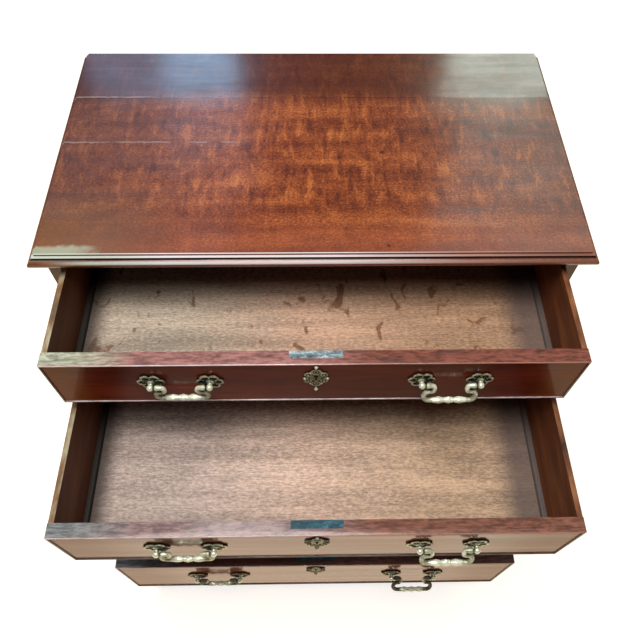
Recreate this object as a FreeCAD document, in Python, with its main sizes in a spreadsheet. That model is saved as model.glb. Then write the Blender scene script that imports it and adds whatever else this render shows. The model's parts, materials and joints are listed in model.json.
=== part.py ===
import FreeCAD, Part
import math
import os
import re

import Sketcher
from FreeCAD import Placement, Rotation, Vector

# A small mahogany chest of four graduated long drawers, standing on bracket feet.
# The front faces -Y, +X is the chest's right as seen from the front, and the floor is at z = 0.
# The drawers rest pulled out by their own pull, so y = 0 lies midway along the open chest.

SIZES = {
    # carcase
    "carcase_width": 788,
    "carcase_depth": 438,
    "carcase_set_back": 188.5,
    "side_thickness": 18,
    "housing_depth": 6,
    "bottom_thickness": 20,
    "back_thickness": 10,
    "back_rebate": 9,
    "back_board_gap": 0.5,
    # rails and what lies behind them
    "top_rail_height": 16,
    "divider_height": 25,
    "rail_depth": 60,
    "runner_width": 32,
    "dust_board_thickness": 8,
    "dust_board_groove": 6,
    "stop_length": 45,
    "stop_depth": 14,
    "stop_height": 5,
    "stop_spacing": 480,
    "stop_gap": 0.3,
    # top
    "top_thickness": 22,
    "top_side_overhang": 6,
    "top_front_overhang": 7,
    "top_back_overhang": 6,
    "top_rear_board": 119,
    "mould_step_drop": 3.5,
    "mould_step_out": 4,
    "mould_quirk": 3.5,
    "mould_lower_fillet": 1,
    # base moulding
    "base_height": 26,
    "base_out": 14,
    "base_square": 9,
    "base_ledge": 2,
    "base_cove": 11,
    "base_cove_bend": 13,
    "base_lip": 1,
    # bracket feet
    "foot_height": 110,
    "bracket_thickness": 20,
    "bracket_set_in": 4,
    "bracket_stand": 66,
    "bracket_cove": 54,
    "bracket_step": 8,
    "bracket_lip": 17,
    "block_side": 40,
    "block_lift": 3,
    # drawers
    "drawer_1_height": 115,
    "drawer_2_height": 137,
    "drawer_3_height": 166,
    "drawer_4_height": 190,
    "drawer_1_pull_share": 0.3935,
    "drawer_2_pull_share": 0.8559,
    "drawer_3_pull_share": 0,
    "drawer_4_pull_share": 0.7855,
    "drawer_play": 2,
    "running_gap": 0.3,
    "drawer_side_gap": 1,
    "drawer_behind": 13,
    "front_thickness": 20,
    "drawer_side_thickness": 8,
    "drawer_back_thickness": 8,
    "side_drop": 2,
    "back_drop": 8,
    "floor_thickness": 7,
    "floor_lift": 7,
    "floor_groove": 5,
    "slip_width": 9,
    "slip_above_floor": 5,
    "tail_pitch": 45,
    "tail_share": 0.7,
    "tail_slope": 0.16,
    # cockbeads
    "bead_thickness": 3,
    "bead_set": 5,
    "bead_proud": 2,
    "bead_ease": 0.9,
    "bead_joint": 0.05,
    "lap_behind_bead": 1.5,
    # locks
    "lock_width": 74,
    "lock_height": 46,
    "lock_plate": 2.5,
    "lock_case_width": 60,
    "lock_case_depth": 12,
    "bolt_width": 20,
    "bolt_thickness": 4.5,
    "bolt_length": 26,
    "bolt_set_in": 4,
    "bolt_gap": 0.2,
    "bolt_throw": 9,
    "mortise_gap": 1.5,
    "keyhole_drop": 35,
    "keyhole_radius": 3.2,
    "keyhole_slot_width": 3,
    "keyhole_slot_length": 10,
    # escutcheons
    "plate_thickness": 2,
    "plate_drop": 40,
    "shield_radius": 11,
    "ring_radius": 8,
    "ring_reach": 17.5,
    "finial_radius": 3.6,
    "finial_reach": 33.4,
    "finial_neck": 4,
    "scroll_radius": 6,
    "scroll_out": 12.5,
    "scroll_rise": 8.5,
    # handles
    "handle_spacing": 382,
    "handle_share": 0.42,
    "handle_bore": 83,
    "rosette_reach": 20,
    "rosette_cusp": 16.5,
    "rosette_thickness": 2.5,
    "shank_side": 6,
    "shank_gap": 0.2,
    "shank_end": 3,
    "nut_side": 13,
    "nut_thickness": 4,
    "post_foot_radius": 5.5,
    "post_foot_height": 2,
    "neck_radius": 3.4,
    "head_radius": 6,
    "head_tip_radius": 3,
    "head_half_length": 5.5,
    "pivot_out": 11.5,
    "pin_radius": 2,
    "pin_gap": 0.05,
    # bails
    "bail_drop": 31,
    "bail_shoulder": 6.2,
    "bail_radius": 3.6,
    "curl_reach": 14,
    "curl_radius": 6,
    "neck_return": 1.5,
    "grip_radius": 5.2,
    "grip_centre": 15,
    "waist_radius": 3.8,
    "waist_at": 7,
    "knop_radius": 5.7,
    "knop_end_radius": 4.6,
    "knop_half_length": 3.5,
    "bail_1_right_swing": 15,
    "bail_2_right_swing": 20,
    "bail_3_right_swing": 0,
    "bail_4_right_swing": 32,
}

DRAWERS = ("1", "2", "3", "4")
BACK_BOARDS = 3
LOBES = 6
POINTS_PER_LOBE = 3
POST_SIDES = 8
PIN_SIDES = 6
BORE_SIDES = 10
BAIL_SIDES = 6
BEND_CHORDS = 3
PLATE_SIDES = 8
AXES = {"x": Vector(1, 0, 0), "y": Vector(0, 1, 0), "z": Vector(0, 0, 1)}

doc = FreeCAD.newDocument("bachelors_chest")
sheet = doc.addObject("Spreadsheet::Sheet", "Sizes")
for row, (size_name, size) in enumerate(SIZES.items(), start=1):
    sheet.set(f"A{row}", str(size))
    sheet.setAlias(f"A{row}", size_name)
doc.recompute()


# Formulas over the sheet

def sized(formula):
    """The formula with each size led by the sheet's name, as an expression needs it."""
    return re.sub(r"[a-z]\w*", lambda word: "Sizes." * (word.group() in SIZES) + word.group(), formula)


def value(formula):
    """What a formula comes to now."""
    return float(sheet.evalExpression(sized(formula)))


def bind(item, prop, formula):
    """Tie one property of a document object to a formula over the sheet."""
    item.setExpression(prop, sized(formula))


def place(item, x="0", y="0", z="0"):
    """Tie an object's place to three formulas."""
    for axis, formula in zip("xyz", (x, y, z)):
        bind(item, f"Placement.Base.{axis}", formula)
    return item


# Solids

def block(name, x, y, z):
    """A square-cut board between two formulas along each axis."""
    board = doc.addObject("Part::Box", name)
    for side, (low, high) in zip(("Length", "Width", "Height"), (x, y, z)):
        bind(board, side, f"({high}) - ({low})")
    return place(board, x[0], y[0], z[0])


def wedge(name, near, far):
    """A prism whose section changes from one y to another: each end is (y, x range, z range)."""
    prism = doc.addObject("Part::Wedge", name)
    for end, mark in ((near, ""), (far, "2")):
        bind(prism, "Ymax" if mark else "Ymin", end[0])
        for axis, (low, high) in zip("XZ", end[1:]):
            bind(prism, f"{axis}{mark}min", low)
            bind(prism, f"{axis}{mark}max", high)
    return prism


def prism_along(name, axis, sides, radius, length):
    """A many-sided bar along X or Y from the origin, with a flat side towards the other axes."""
    bar = doc.addObject("Part::Prism", name)
    bar.Polygon = sides
    bind(bar, "Circumradius", radius)
    bind(bar, "Height", length)
    bar.Placement = Placement(Vector(), upright_turn(axis, sides))
    return bar


def upright_turn(axis, sides):
    """The turn that stands a regular polygon square to X or Y with a flat side on top."""
    lay = Rotation(Vector(0, 1, 0), 90) if axis == "x" else Rotation(Vector(1, 0, 0), -90)
    return lay * Rotation(Vector(0, 0, 1), 180 / sides)


def fuse(name, *pieces):
    joined = doc.addObject("Part::MultiFuse", name)
    joined.Shapes = list(pieces)
    return joined


def common(name, *pieces):
    shared = doc.addObject("Part::MultiCommon", name)
    shared.Shapes = list(pieces)
    return shared


def cut(name, base, *tools):
    """The base with every tool taken out of it."""
    rest = doc.addObject("Part::Cut", name)
    rest.Base = base
    rest.Tool = tools[0] if len(tools) == 1 else fuse(f"{name}_tools", *tools)
    return rest


def mirror(name, source, axis="x", at="0"):
    """The source reflected in the plane across an axis at a formula's place."""
    image = doc.addObject("Part::Mirroring", name)
    image.Source = source
    image.Normal = AXES[axis]
    bind(image, f"Base.{axis}", at)
    return image


def group(name, *pieces):
    """Separate solids kept under one name."""
    together = doc.addObject("Part::Compound", name)
    together.Links = list(pieces)
    return together


def copy_of(name, source, x, y, z):
    """The same piece again at another place."""
    copy = doc.addObject("App::Link", name)
    copy.LinkedObject = source
    return place(copy, x, y, z)


# Profiles

def arc_between(start, end, radius, turn):
    """The arc of under half a circle from start to end that turns left or right on its way."""
    chord = end - start
    rise = math.sqrt(max(radius ** 2 - (chord.Length / 2) ** 2, 0))
    to_left = Vector(-chord.y, chord.x, 0).normalize()
    side = 1 if turn == "left" else -1
    centre = (start + end) / 2 + to_left * rise * side
    angles = [math.atan2(point.y - centre.y, point.x - centre.x) for point in (start, end)]
    if turn == "right":
        angles.reverse()
    return Part.ArcOfCircle(Part.Circle(centre, Vector(0, 0, 1), radius), *angles)


def draw(sketch, outline, closed=True):
    """Lines and arcs through the outline's points, each point held by its distances from the axes.

    A point is (across, up), or (across, up, turn, radius) where an arc leads on to the next point.
    """
    corners = [Vector(value(point[0]), value(point[1]), 0) for point in outline]
    last = len(outline) if closed else len(outline) - 1
    ends = []
    for index in range(last):
        start, end = corners[index], corners[(index + 1) % len(corners)]
        bend = outline[index][2:]
        if bend:
            turn, radius = bend
            edge = sketch.addGeometry(arc_between(start, end, value(radius), turn), False)
            rule = sketch.addConstraint(Sketcher.Constraint("Radius", edge, value(radius)))
            bind(sketch, f"Constraints[{rule}]", radius)
            ends.append((edge, 2, 1) if turn == "right" else (edge, 1, 2))
        else:
            ends.append((sketch.addGeometry(Part.LineSegment(start, end), False), 1, 2))
    for index, (edge, first, second) in enumerate(ends):
        hold(sketch, edge, first, outline[index])
        if index + 1 < len(ends):
            sketch.addConstraint(Sketcher.Constraint("Coincident", edge, second, *ends[index + 1][:2]))
        elif closed:
            sketch.addConstraint(Sketcher.Constraint("Coincident", edge, second, *ends[0][:2]))
        else:
            hold(sketch, edge, second, outline[-1])


def hold(sketch, edge, end, point):
    """Tie an edge's end to the point's two formulas."""
    for kind, formula in (("DistanceX", point[0]), ("DistanceY", point[1])):
        rule = sketch.addConstraint(Sketcher.Constraint(kind, -1, 1, edge, end, value(formula)))
        bind(sketch, f"Constraints[{rule}]", formula)


def body_with_sketch(name, plane, outline):
    """A new body and a sketch of the outline on one of its origin planes."""
    body = doc.addObject("PartDesign::Body", name)
    sketch = body.newObject("Sketcher::SketchObject", f"{name}_outline")
    support = next(item for item in body.Origin.OriginFeatures if item.Role == plane)
    sketch.AttachmentSupport = [(support, "")]
    sketch.MapMode = "FlatFace"
    draw(sketch, outline)
    return body, sketch


def pad(name, plane, outline, length, both_ways=False):
    """A profile on an origin plane, made as long as the formula says towards the positive axis.

    Both ways, half of the length lies on each side of the plane.
    """
    body, sketch = body_with_sketch(name, plane, outline)
    feature = body.newObject("PartDesign::Pad", f"{name}_pad")
    feature.Profile = sketch
    feature.Reversed = plane == "XZ_Plane"
    feature.SideType = "Symmetric" if both_ways else "One side"
    bind(feature, "Length", length)
    return body


def flat_sided(name, axis, sides, stations, widest):
    """A form along X or Y whose many-sided section swells and narrows.

    Each station is (place along the axis, radius to the corners). One outline gives two flat sides,
    and what all its turned copies share has every side.
    """
    upper = [(along, f"{radius} * cos({180 / sides})") for along, radius in stations]
    lower = [(along, f"-{half}") for along, half in reversed(upper)]
    plane = {"x": "XZ_Plane", "y": "YZ_Plane"}[axis]
    strip = pad(f"{name}_strip", plane, upper + lower, f"2 * {widest}", both_ways=True)
    turns = [strip]
    for index in range(1, sides // 2):
        turn = copy_of(f"{name}_turn_{index}", strip, "0", "0", "0")
        turn.Placement = Placement(Vector(), Rotation(AXES[axis], 360 * index / sides))
        turns.append(turn)
    return common(name, *turns)


# Places that several pieces share

HALF = "(carcase_width / 2)"
INNER_HALF = "(carcase_width / 2 - side_thickness)"
FRONT = "(carcase_set_back - carcase_depth / 2)"
BACK = "(carcase_set_back + carcase_depth / 2)"
BACK_FACE = f"({BACK} - back_thickness)"
RAIL_BACK = f"({FRONT} + rail_depth)"
BOTTOM_TOP = "(foot_height + bottom_thickness)"
FLOOR_LEVEL = {}
level = BOTTOM_TOP
for number in reversed(DRAWERS):
    FLOOR_LEVEL[number] = level
    opening_top = f"({level} + drawer_{number}_height + drawer_play)"
    level = f"({opening_top} + divider_height)"
TOP_RAIL_LEVEL = opening_top
TOP_LEVEL = f"({TOP_RAIL_LEVEL} + top_rail_height)"
DRAWER_HALF = f"({INNER_HALF} - drawer_side_gap)"
DRAWER_INNER_HALF = f"({DRAWER_HALF} - drawer_side_thickness)"
DRAWER_LENGTH = "(carcase_depth - back_thickness - drawer_behind)"
INSIDE_FLOOR = "(floor_lift + floor_thickness)"


def mirrored_pair(x):
    """The same x range on the other side of the middle."""
    return (f"-({x[1]})", f"-({x[0]})")


# Top

def top_edge(outer, side):
    """The moulded edge from the upper surface down, stepping out from the upper arris.

    A square step, a quirk and a half-round bead, on the side of the positive or negative axis.
    """
    bead = "((top_thickness - mould_step_drop - mould_quirk - mould_lower_fillet) / 2)"
    quirk_low = "(mould_step_drop + mould_quirk)"
    steps = [
        ("0", "0"),
        ("0", "mould_step_drop"),
        ("mould_step_out", "mould_step_drop"),
        ("mould_step_out", quirk_low, "right", bead),
        (f"mould_step_out + {bead}", f"{quirk_low} + {bead}", "right", bead),
        ("mould_step_out", f"{quirk_low} + 2 * {bead}"),
        ("mould_step_out", "top_thickness"),
    ]
    sign, turn = ("", "right") if side == "+" else ("-", "left")
    edge = []
    for out, drop, *bend in steps:
        point = (f"{sign}({outer} + {out})", f"{TOP_LEVEL} + top_thickness - ({drop})")
        edge.append(point + ((turn, bend[1]) if bend else ()))
    return edge


def reversed_edge(edge):
    """The same edge walked the other way, with each arc kept on its own stretch."""
    other = {"left": "right", "right": "left"}
    walked = []
    for index in range(len(edge) - 1, -1, -1):
        bend = edge[index - 1][2:] if index else ()
        walked.append(edge[index][:2] + ((other[bend[0]], bend[1]) if bend else ()))
    return walked


def build_top():
    """Two boards glued edge to edge, moulded on the front and on both ends."""
    arris = f"({HALF} + top_side_overhang)"
    front_arris = f"(top_front_overhang - {FRONT})"
    back_edge = f"({BACK} + top_back_overhang)"
    joint = f"({back_edge} - top_rear_board)"
    widest = f"({arris} + mould_step_out + top_thickness)"
    level = (TOP_LEVEL, f"{TOP_LEVEL} + top_thickness")

    depth_outline = top_edge(front_arris, "-") + [(back_edge, level[0]), (back_edge, level[1])]
    depth_profile = pad("top_depth_profile", "YZ_Plane", depth_outline, f"2 * {widest}")
    place(depth_profile, x=f"-{widest}")
    width_outline = top_edge(arris, "+") + reversed_edge(top_edge(arris, "-"))
    front_end = f"({FRONT} - top_front_overhang - mould_step_out - top_thickness)"
    width_profile = pad("top_width_profile", "XZ_Plane", width_outline, f"{back_edge} - {front_end}")
    place(width_profile, y=front_end)

    across = (f"-{widest}", widest)
    halves = {"front": (front_end, joint), "rear": (joint, back_edge)}
    boards = []
    for half, along in halves.items():
        plank = block(f"top_{half}_plank", across, along, level)
        boards.append(common(f"top_{half}_board", depth_profile, width_profile, plank))
    return boards


# Carcase

def build_sides():
    """Two sides, rebated for the back and housed for the bottom, the top rail and the dividers."""
    inside = f"-{INNER_HALF}"
    blank = block("side_blank", (f"-{HALF}", inside), (FRONT, BACK), ("foot_height", TOP_LEVEL))
    housing = (f"{inside} - housing_depth", inside)
    rebate = (f"{inside} - back_rebate", inside)
    cuts = [block("side_rebate", rebate, (BACK_FACE, BACK), ("foot_height", TOP_LEVEL))]
    cuts.append(block("bottom_housing", housing, (FRONT, BACK_FACE), ("foot_height", BOTTOM_TOP)))
    cuts.append(block("top_rail_housing", housing, (FRONT, RAIL_BACK), (TOP_RAIL_LEVEL, TOP_LEVEL)))
    for number in DRAWERS[:-1]:
        rail = (f"{FLOOR_LEVEL[number]} - divider_height", FLOOR_LEVEL[number])
        cuts.append(block(f"divider_{number}_housing", housing, (FRONT, RAIL_BACK), rail))
    left = cut("left_side", blank, *cuts)
    return left, mirror("right_side", left)


def build_back():
    """Three boards across the back, with a shrinkage gap between them."""
    reach = f"({INNER_HALF} + back_rebate)"
    gaps = f"({BACK_BOARDS - 1} * back_board_gap)"
    board = f"(({TOP_LEVEL} - foot_height - {gaps}) / {BACK_BOARDS})"
    planks = []
    for index in range(BACK_BOARDS):
        low = f"(foot_height + {index} * ({board} + back_board_gap))"
        level = (low, f"{low} + {board}")
        planks.append(block(f"back_plank_{index + 1}", (f"-{reach}", reach), (BACK_FACE, BACK), level))
    return group("back_boards", *planks)


def bolt_mortise(name, level):
    """The socket in a rail's underside that takes the bolt of the closed drawer below."""
    half = "(bolt_width / 2 + mortise_gap)"
    back = f"({FRONT} + front_thickness - bolt_set_in)"
    along = (f"{back} - bolt_thickness - mortise_gap", f"{back} + mortise_gap")
    return block(name, (f"-{half}", half), along, (level, f"{level} + bolt_throw + mortise_gap"))


def build_rails():
    """The top rail and three dividers, let into the sides and grooved behind for the dust boards."""
    reach = (f"-({INNER_HALF} + housing_depth)", f"{INNER_HALF} + housing_depth")
    along = (FRONT, RAIL_BACK)
    top_blank = block("top_rail_blank", reach, along, (TOP_RAIL_LEVEL, TOP_LEVEL))
    top_rail = cut("top_rail", top_blank, bolt_mortise("top_rail_mortise", TOP_RAIL_LEVEL))
    rails = []
    for number in DRAWERS[:-1]:
        low = f"({FLOOR_LEVEL[number]} - divider_height)"
        blank = block(f"divider_{number}_blank", reach, along, (low, FLOOR_LEVEL[number]))
        mortise = bolt_mortise(f"divider_{number}_mortise", low)
        rails.append(cut(f"divider_{number}", blank, mortise, dust_board(number, "groove")))
    return top_rail, group("drawer_dividers", *rails)


def dust_board(number, role):
    """The thin board behind a divider, held in grooves; it also serves to cut those grooves."""
    half = f"({INNER_HALF} - runner_width + dust_board_groove)"
    middle = f"({FLOOR_LEVEL[number]} - divider_height / 2)"
    level = (f"{middle} - dust_board_thickness / 2", f"{middle} + dust_board_thickness / 2")
    return block(
        f"dust_{role}_{number}", (f"-{half}", half), (f"{RAIL_BACK} - dust_board_groove", BACK_FACE), level
    )


def build_dust_boards():
    return group("dust_boards", *[dust_board(number, "board") for number in DRAWERS[:-1]])


def build_runners():
    """Runners along both sides behind each divider, and kickers under the top for the first drawer."""
    strip = (f"-{INNER_HALF}", f"-{INNER_HALF} + runner_width")
    along = (RAIL_BACK, BACK_FACE)
    left_kicker = block("left_kicker", strip, along, (TOP_RAIL_LEVEL, TOP_LEVEL))
    kickers = group("drawer_kickers", left_kicker, mirror("right_kicker", left_kicker))
    strips = []
    for number in DRAWERS[:-1]:
        level = (f"{FLOOR_LEVEL[number]} - divider_height", FLOOR_LEVEL[number])
        blank = block(f"runner_{number}_blank", strip, along, level)
        left = cut(f"left_runner_{number}", blank, dust_board(number, "slot"))
        strips += [left, mirror(f"right_runner_{number}", left)]
    return kickers, group("drawer_runners", *strips)


def build_stops():
    """Two small blocks on each divider and on the bottom, just behind the closed drawer front."""
    near = f"({FRONT} + front_thickness + stop_gap)"
    stops = []
    for number in DRAWERS:
        reach = ("(stop_spacing - stop_length) / 2", "(stop_spacing + stop_length) / 2")
        level = (FLOOR_LEVEL[number], f"{FLOOR_LEVEL[number]} + stop_height")
        for side, x in (("right", reach), ("left", mirrored_pair(reach))):
            stops.append(block(f"{side}_stop_{number}", x, (near, f"{near} + stop_depth"), level))
    return group("drawer_stops", *stops)


def build_bottom():
    reach = f"({INNER_HALF} + housing_depth)"
    return block("bottom_board", (f"-{reach}", reach), (FRONT, BACK_FACE), ("foot_height", BOTTOM_TOP))


# Base

BASE_LEVEL = "(foot_height + bottom_thickness - base_height)"


def corner_mitre(name, out, thickness, level):
    """A prism with 45 degree ends across the whole front, for strips that meet at the corners."""
    near, far = f"({FRONT} - {out})", f"({FRONT} - {out} + {thickness})"
    wide, narrow = f"({HALF} + {out})", f"({HALF} + {out} - {thickness})"
    return wedge(name, (near, (f"-{wide}", wide), level), (far, (f"-{narrow}", narrow), level))


def base_outline(face, sign):
    """The base moulding's section: a square foot, a ledge, a cove and a lip, out from the carcase."""
    cove_low = f"{BASE_LEVEL} + base_square"
    cove_turn = "right" if sign == "-" else "left"
    steps = [
        ("0", BASE_LEVEL),
        ("base_out", BASE_LEVEL),
        ("base_out", cove_low),
        ("base_out - base_ledge", cove_low, cove_turn, "base_cove_bend"),
        ("base_lip", f"{cove_low} + base_cove"),
        ("base_lip", f"{BASE_LEVEL} + base_height"),
        ("0", f"{BASE_LEVEL} + base_height"),
    ]
    return [(f"{face} {sign} ({out})", up, *bend) for out, up, *bend in steps]


def build_base_moulding():
    """Three strips round the foot of the carcase, mitred at the front corners."""
    wide = f"({HALF} + base_out)"
    mitre = corner_mitre("base_mitre", "base_out", "base_out", (BASE_LEVEL, f"{BASE_LEVEL} + base_height"))
    front_strip = pad("base_front_strip", "YZ_Plane", base_outline(FRONT, "-"), f"2 * {wide}")
    place(front_strip, x=f"-{wide}")
    side_strip = pad("base_side_strip", "XZ_Plane", base_outline(f"-{HALF}", "-"), "carcase_depth + base_out")
    place(side_strip, y=f"{FRONT} - base_out")
    left = cut("base_left", side_strip, mitre)
    return group("base_moulding", common("base_front", front_strip, mitre), left, mirror("base_right", left))


def bracket_outline(corner, sign):
    """A bracket's shape: a square stand, a cove up and out of it, and a deep lip at the end."""
    cove_top = f"({BASE_LEVEL} - bracket_lip)"
    cove_end = "(bracket_stand + bracket_cove)"
    turn = "right" if sign == "+" else "left"
    steps = [
        ("0", "0"),
        ("bracket_stand", "0"),
        ("bracket_stand", f"{cove_top} - bracket_cove", turn, "bracket_cove"),
        (cove_end, cove_top),
        (f"{cove_end} + bracket_step", cove_top),
        (f"{cove_end} + bracket_step", BASE_LEVEL),
        ("0", BASE_LEVEL),
    ]
    return [(f"{corner} {sign} ({along})", up, *bend) for along, up, *bend in steps]


def build_feet():
    """Four bracket feet under the base moulding, the front pair mitred at the corner."""
    out = "(base_out - bracket_set_in)"
    face = f"({FRONT} - {out})"
    flank = f"({HALF} + {out})"
    mitre = corner_mitre("foot_mitre", out, "bracket_thickness", ("0", BASE_LEVEL))

    front_blank = pad("foot_front_blank", "XZ_Plane", bracket_outline(f"-{flank}", "+"), "bracket_thickness")
    place(front_blank, y=face)
    side_blank = pad("foot_side_blank", "YZ_Plane", bracket_outline(face, "+"), "bracket_thickness")
    place(side_blank, x=f"-{flank}")
    front_left = [common("front_left_face", front_blank, mitre), cut("front_left_flank", side_blank, mitre)]

    rear_side = pad("rear_left_flank", "YZ_Plane", bracket_outline(BACK, "-"), "bracket_thickness")
    place(rear_side, x=f"-{flank}")
    inner = f"-({flank} - bracket_thickness)"
    rear_back = pad("rear_left_back", "XZ_Plane", bracket_outline(inner, "+"), "bracket_thickness")
    place(rear_back, y=f"{BACK} - bracket_thickness")
    feet = []
    for end, left in (("front", front_left), ("rear", [rear_side, rear_back])):
        right = [mirror(f"{piece.Name}_mirrored", piece) for piece in left]
        feet.append(group(f"{end}_feet", *left, *right))

    post_x = (inner, f"{inner} + block_side")
    inside_front = f"({face} + bracket_thickness)"
    inside_back = f"({BACK} - bracket_thickness)"
    ends = {
        "front": (inside_front, f"{inside_front} + block_side"),
        "rear": (f"{inside_back} - block_side", inside_back),
    }
    blocks = []
    for end, along in ends.items():
        left = block(f"{end}_left_block", post_x, along, ("block_lift", "foot_height"))
        blocks += [left, mirror(f"{end}_right_block", left)]
    return feet + [group("foot_blocks", *blocks)]


# Handles and plates, each made once and copied to every drawer.
# Their own origin lies on the drawer's face, at the middle of what they carry.

def build_rosette():
    """A flat cast plate with lobes round it, bored square for the post's shank."""
    mean, swell = "((rosette_reach + rosette_cusp) / 2)", "((rosette_reach - rosette_cusp) / 2)"
    outline = []
    for index in range(LOBES * POINTS_PER_LOBE):
        angle = 360 * index / (LOBES * POINTS_PER_LOBE)
        reach = f"({mean} + {swell} * cos({LOBES * angle}))"
        outline.append((f"{reach} * cos({angle})", f"{reach} * sin({angle})"))
    plate = pad("rosette_plate", "XZ_Plane", outline, "rosette_thickness")
    place(plate, y="-rosette_thickness")
    half = "(shank_side / 2 + pin_gap)"
    bore = block("rosette_bore", (f"-{half}", half), ("-rosette_thickness", "0"), (f"-{half}", half))
    return cut("rosette", plate, bore)


def build_post():
    """A post with a flared foot, a neck and a swelling head, on a square shank through the front."""
    stations = [
        ("-rosette_thickness", "post_foot_radius"),
        ("-rosette_thickness - post_foot_height", "neck_radius"),
        ("-(pivot_out - head_half_length)", "neck_radius"),
        ("-(pivot_out - head_half_length / 2)", "head_radius"),
        ("-(pivot_out + head_half_length / 2)", "head_radius"),
        ("-(pivot_out + head_half_length)", "head_tip_radius"),
    ]
    knob = flat_sided("post_knob", "y", POST_SIDES, stations, "head_radius")
    half = "(shank_side / 2)"
    along = ("-rosette_thickness", "front_thickness + nut_thickness + shank_end")
    shank = block("post_shank", (f"-{half}", half), along, (f"-{half}", half))
    bore_radius = f"(pin_radius + pin_gap) / cos({180 / BORE_SIDES})"
    bore = prism_along("post_bore", "x", BORE_SIDES, bore_radius, "2 * head_radius")
    place(bore, x="-head_radius", y="-pivot_out")
    return cut("post", fuse("post_blank", knob, shank), bore)


def build_nut():
    """The square nut that holds a post from inside the drawer."""
    half, hole = "(nut_side / 2)", "(shank_side / 2 + pin_gap)"
    along = ("front_thickness", "front_thickness + nut_thickness")
    blank = block("nut_blank", (f"-{half}", half), along, (f"-{half}", half))
    return cut("nut", blank, block("nut_hole", (f"-{hole}", hole), along, (f"-{hole}", hole)))


def bend_points(centre, radius, first, turn):
    """Points part of the way round a half turn, worked out from its centre and radius."""
    points = []
    for index in range(1, BEND_CHORDS):
        angle = first + turn * index / BEND_CHORDS
        points.append((f"{centre[0]} + {radius} * cos({angle})", f"{centre[1]} + {radius} * sin({angle})"))
    return points


def build_bail():
    """A swan-necked bail hanging from its pivot line, which is its own X axis.

    From each pin the neck runs inwards, curls under and back, then bends down into a swelling grip.
    """
    post = "(handle_bore / 2)"
    curl_x = f"({post} - curl_reach)"
    bend_x = f"({curl_x} + neck_return)"
    bend_radius = "((bail_drop - 2 * curl_radius) / 2)"
    grip_end = f"({bend_x} - bail_radius)"
    path = doc.addObject("Sketcher::SketchObject", "bail_path")
    path.Placement = Placement(Vector(), Rotation(Vector(1, 0, 0), 90))
    route = [(f"{post} - bail_shoulder", "0"), (curl_x, "0")]
    route += bend_points((curl_x, "-curl_radius"), "curl_radius", 90, 180)
    route += [(curl_x, "-2 * curl_radius"), (bend_x, "-2 * curl_radius")]
    route += bend_points((bend_x, f"-2 * curl_radius - {bend_radius}"), bend_radius, 90, -180)
    route += [(bend_x, "-bail_drop"), (grip_end, "-bail_drop")]
    draw(path, route, closed=False)
    end_section = doc.addObject("Part::RegularPolygon", "bail_end_section")
    end_section.Polygon = BAIL_SIDES
    bind(end_section, "Circumradius", "bail_radius")
    end_section.Placement = Placement(Vector(), upright_turn("x", BAIL_SIDES))
    place(end_section, x=f"{post} - bail_shoulder")
    neck = doc.addObject("Part::Sweep", "bail_neck")
    neck.Sections = [end_section]
    neck.Spine = (path, [f"Edge{index + 1}" for index in range(len(route) - 1)])
    neck.Solid = True
    neck.Transition = "Right corner"

    stations = [
        ("0", "knop_radius"),
        ("knop_half_length", "knop_end_radius"),
        ("waist_at", "waist_radius"),
        ("grip_centre", "grip_radius"),
        (grip_end, "bail_radius"),
    ]
    mirrored = [(f"-({x})", radius) for x, radius in stations[:0:-1]]
    grip = flat_sided("bail_grip", "x", BAIL_SIDES, mirrored + stations, "knop_radius")
    place(grip, z="-bail_drop")

    pin = prism_along("bail_pin", "x", PIN_SIDES, "pin_radius", "bail_shoulder + head_radius")
    place(pin, x=f"{post} - bail_shoulder")
    return fuse("bail", grip, neck, mirror("bail_left_neck", neck), pin, mirror("bail_left_pin", pin))


def keyhole(name, top, along):
    """A round hole over a slot, cut along Y at the keyhole's drop below a drawer's top edge."""
    level = f"({top} - keyhole_drop)"
    length = f"(({along[1]}) - ({along[0]}))"
    hole = prism_along(f"{name}_round", "y", PLATE_SIDES, "keyhole_radius", length)
    place(hole, y=along[0], z=level)
    half = "(keyhole_slot_width / 2)"
    slot = block(f"{name}_slot", (f"-{half}", half), along, (f"{level} - keyhole_slot_length", level))
    return fuse(name, hole, slot)


def disc(name, x, z, radius):
    """A round piece of the escutcheon's plate, lying on the drawer's face."""
    piece = prism_along(name, "y", PLATE_SIDES, radius, "plate_thickness")
    return place(piece, x, "-plate_thickness", z)


def build_escutcheon():
    """A tall cast plate: a round shield between two rings with finials, and four scrolls beside it."""
    half = "(finial_neck / 2)"
    upper = fuse(
        "plate_upper_half",
        disc("plate_ring", "0", "ring_reach", "ring_radius"),
        block("plate_neck", (f"-{half}", half), ("-plate_thickness", "0"), ("ring_reach", "finial_reach")),
        disc("plate_finial", "0", "finial_reach", "finial_radius"),
        disc("plate_left_scroll", "-scroll_out", "scroll_rise", "scroll_radius"),
        disc("plate_right_scroll", "scroll_out", "scroll_rise", "scroll_radius"),
    )
    shield = disc("plate_shield", "0", "0", "shield_radius")
    blank = fuse("plate_blank", shield, upper, mirror("plate_lower_half", upper, "z"))
    hole = keyhole("plate_keyhole", "plate_drop", ("-2 * plate_thickness", "plate_thickness"))
    return cut("escutcheon", blank, hole)


# Drawers, each built with its face at y = 0, its lower edge at z = 0 and its middle at x = 0

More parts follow.
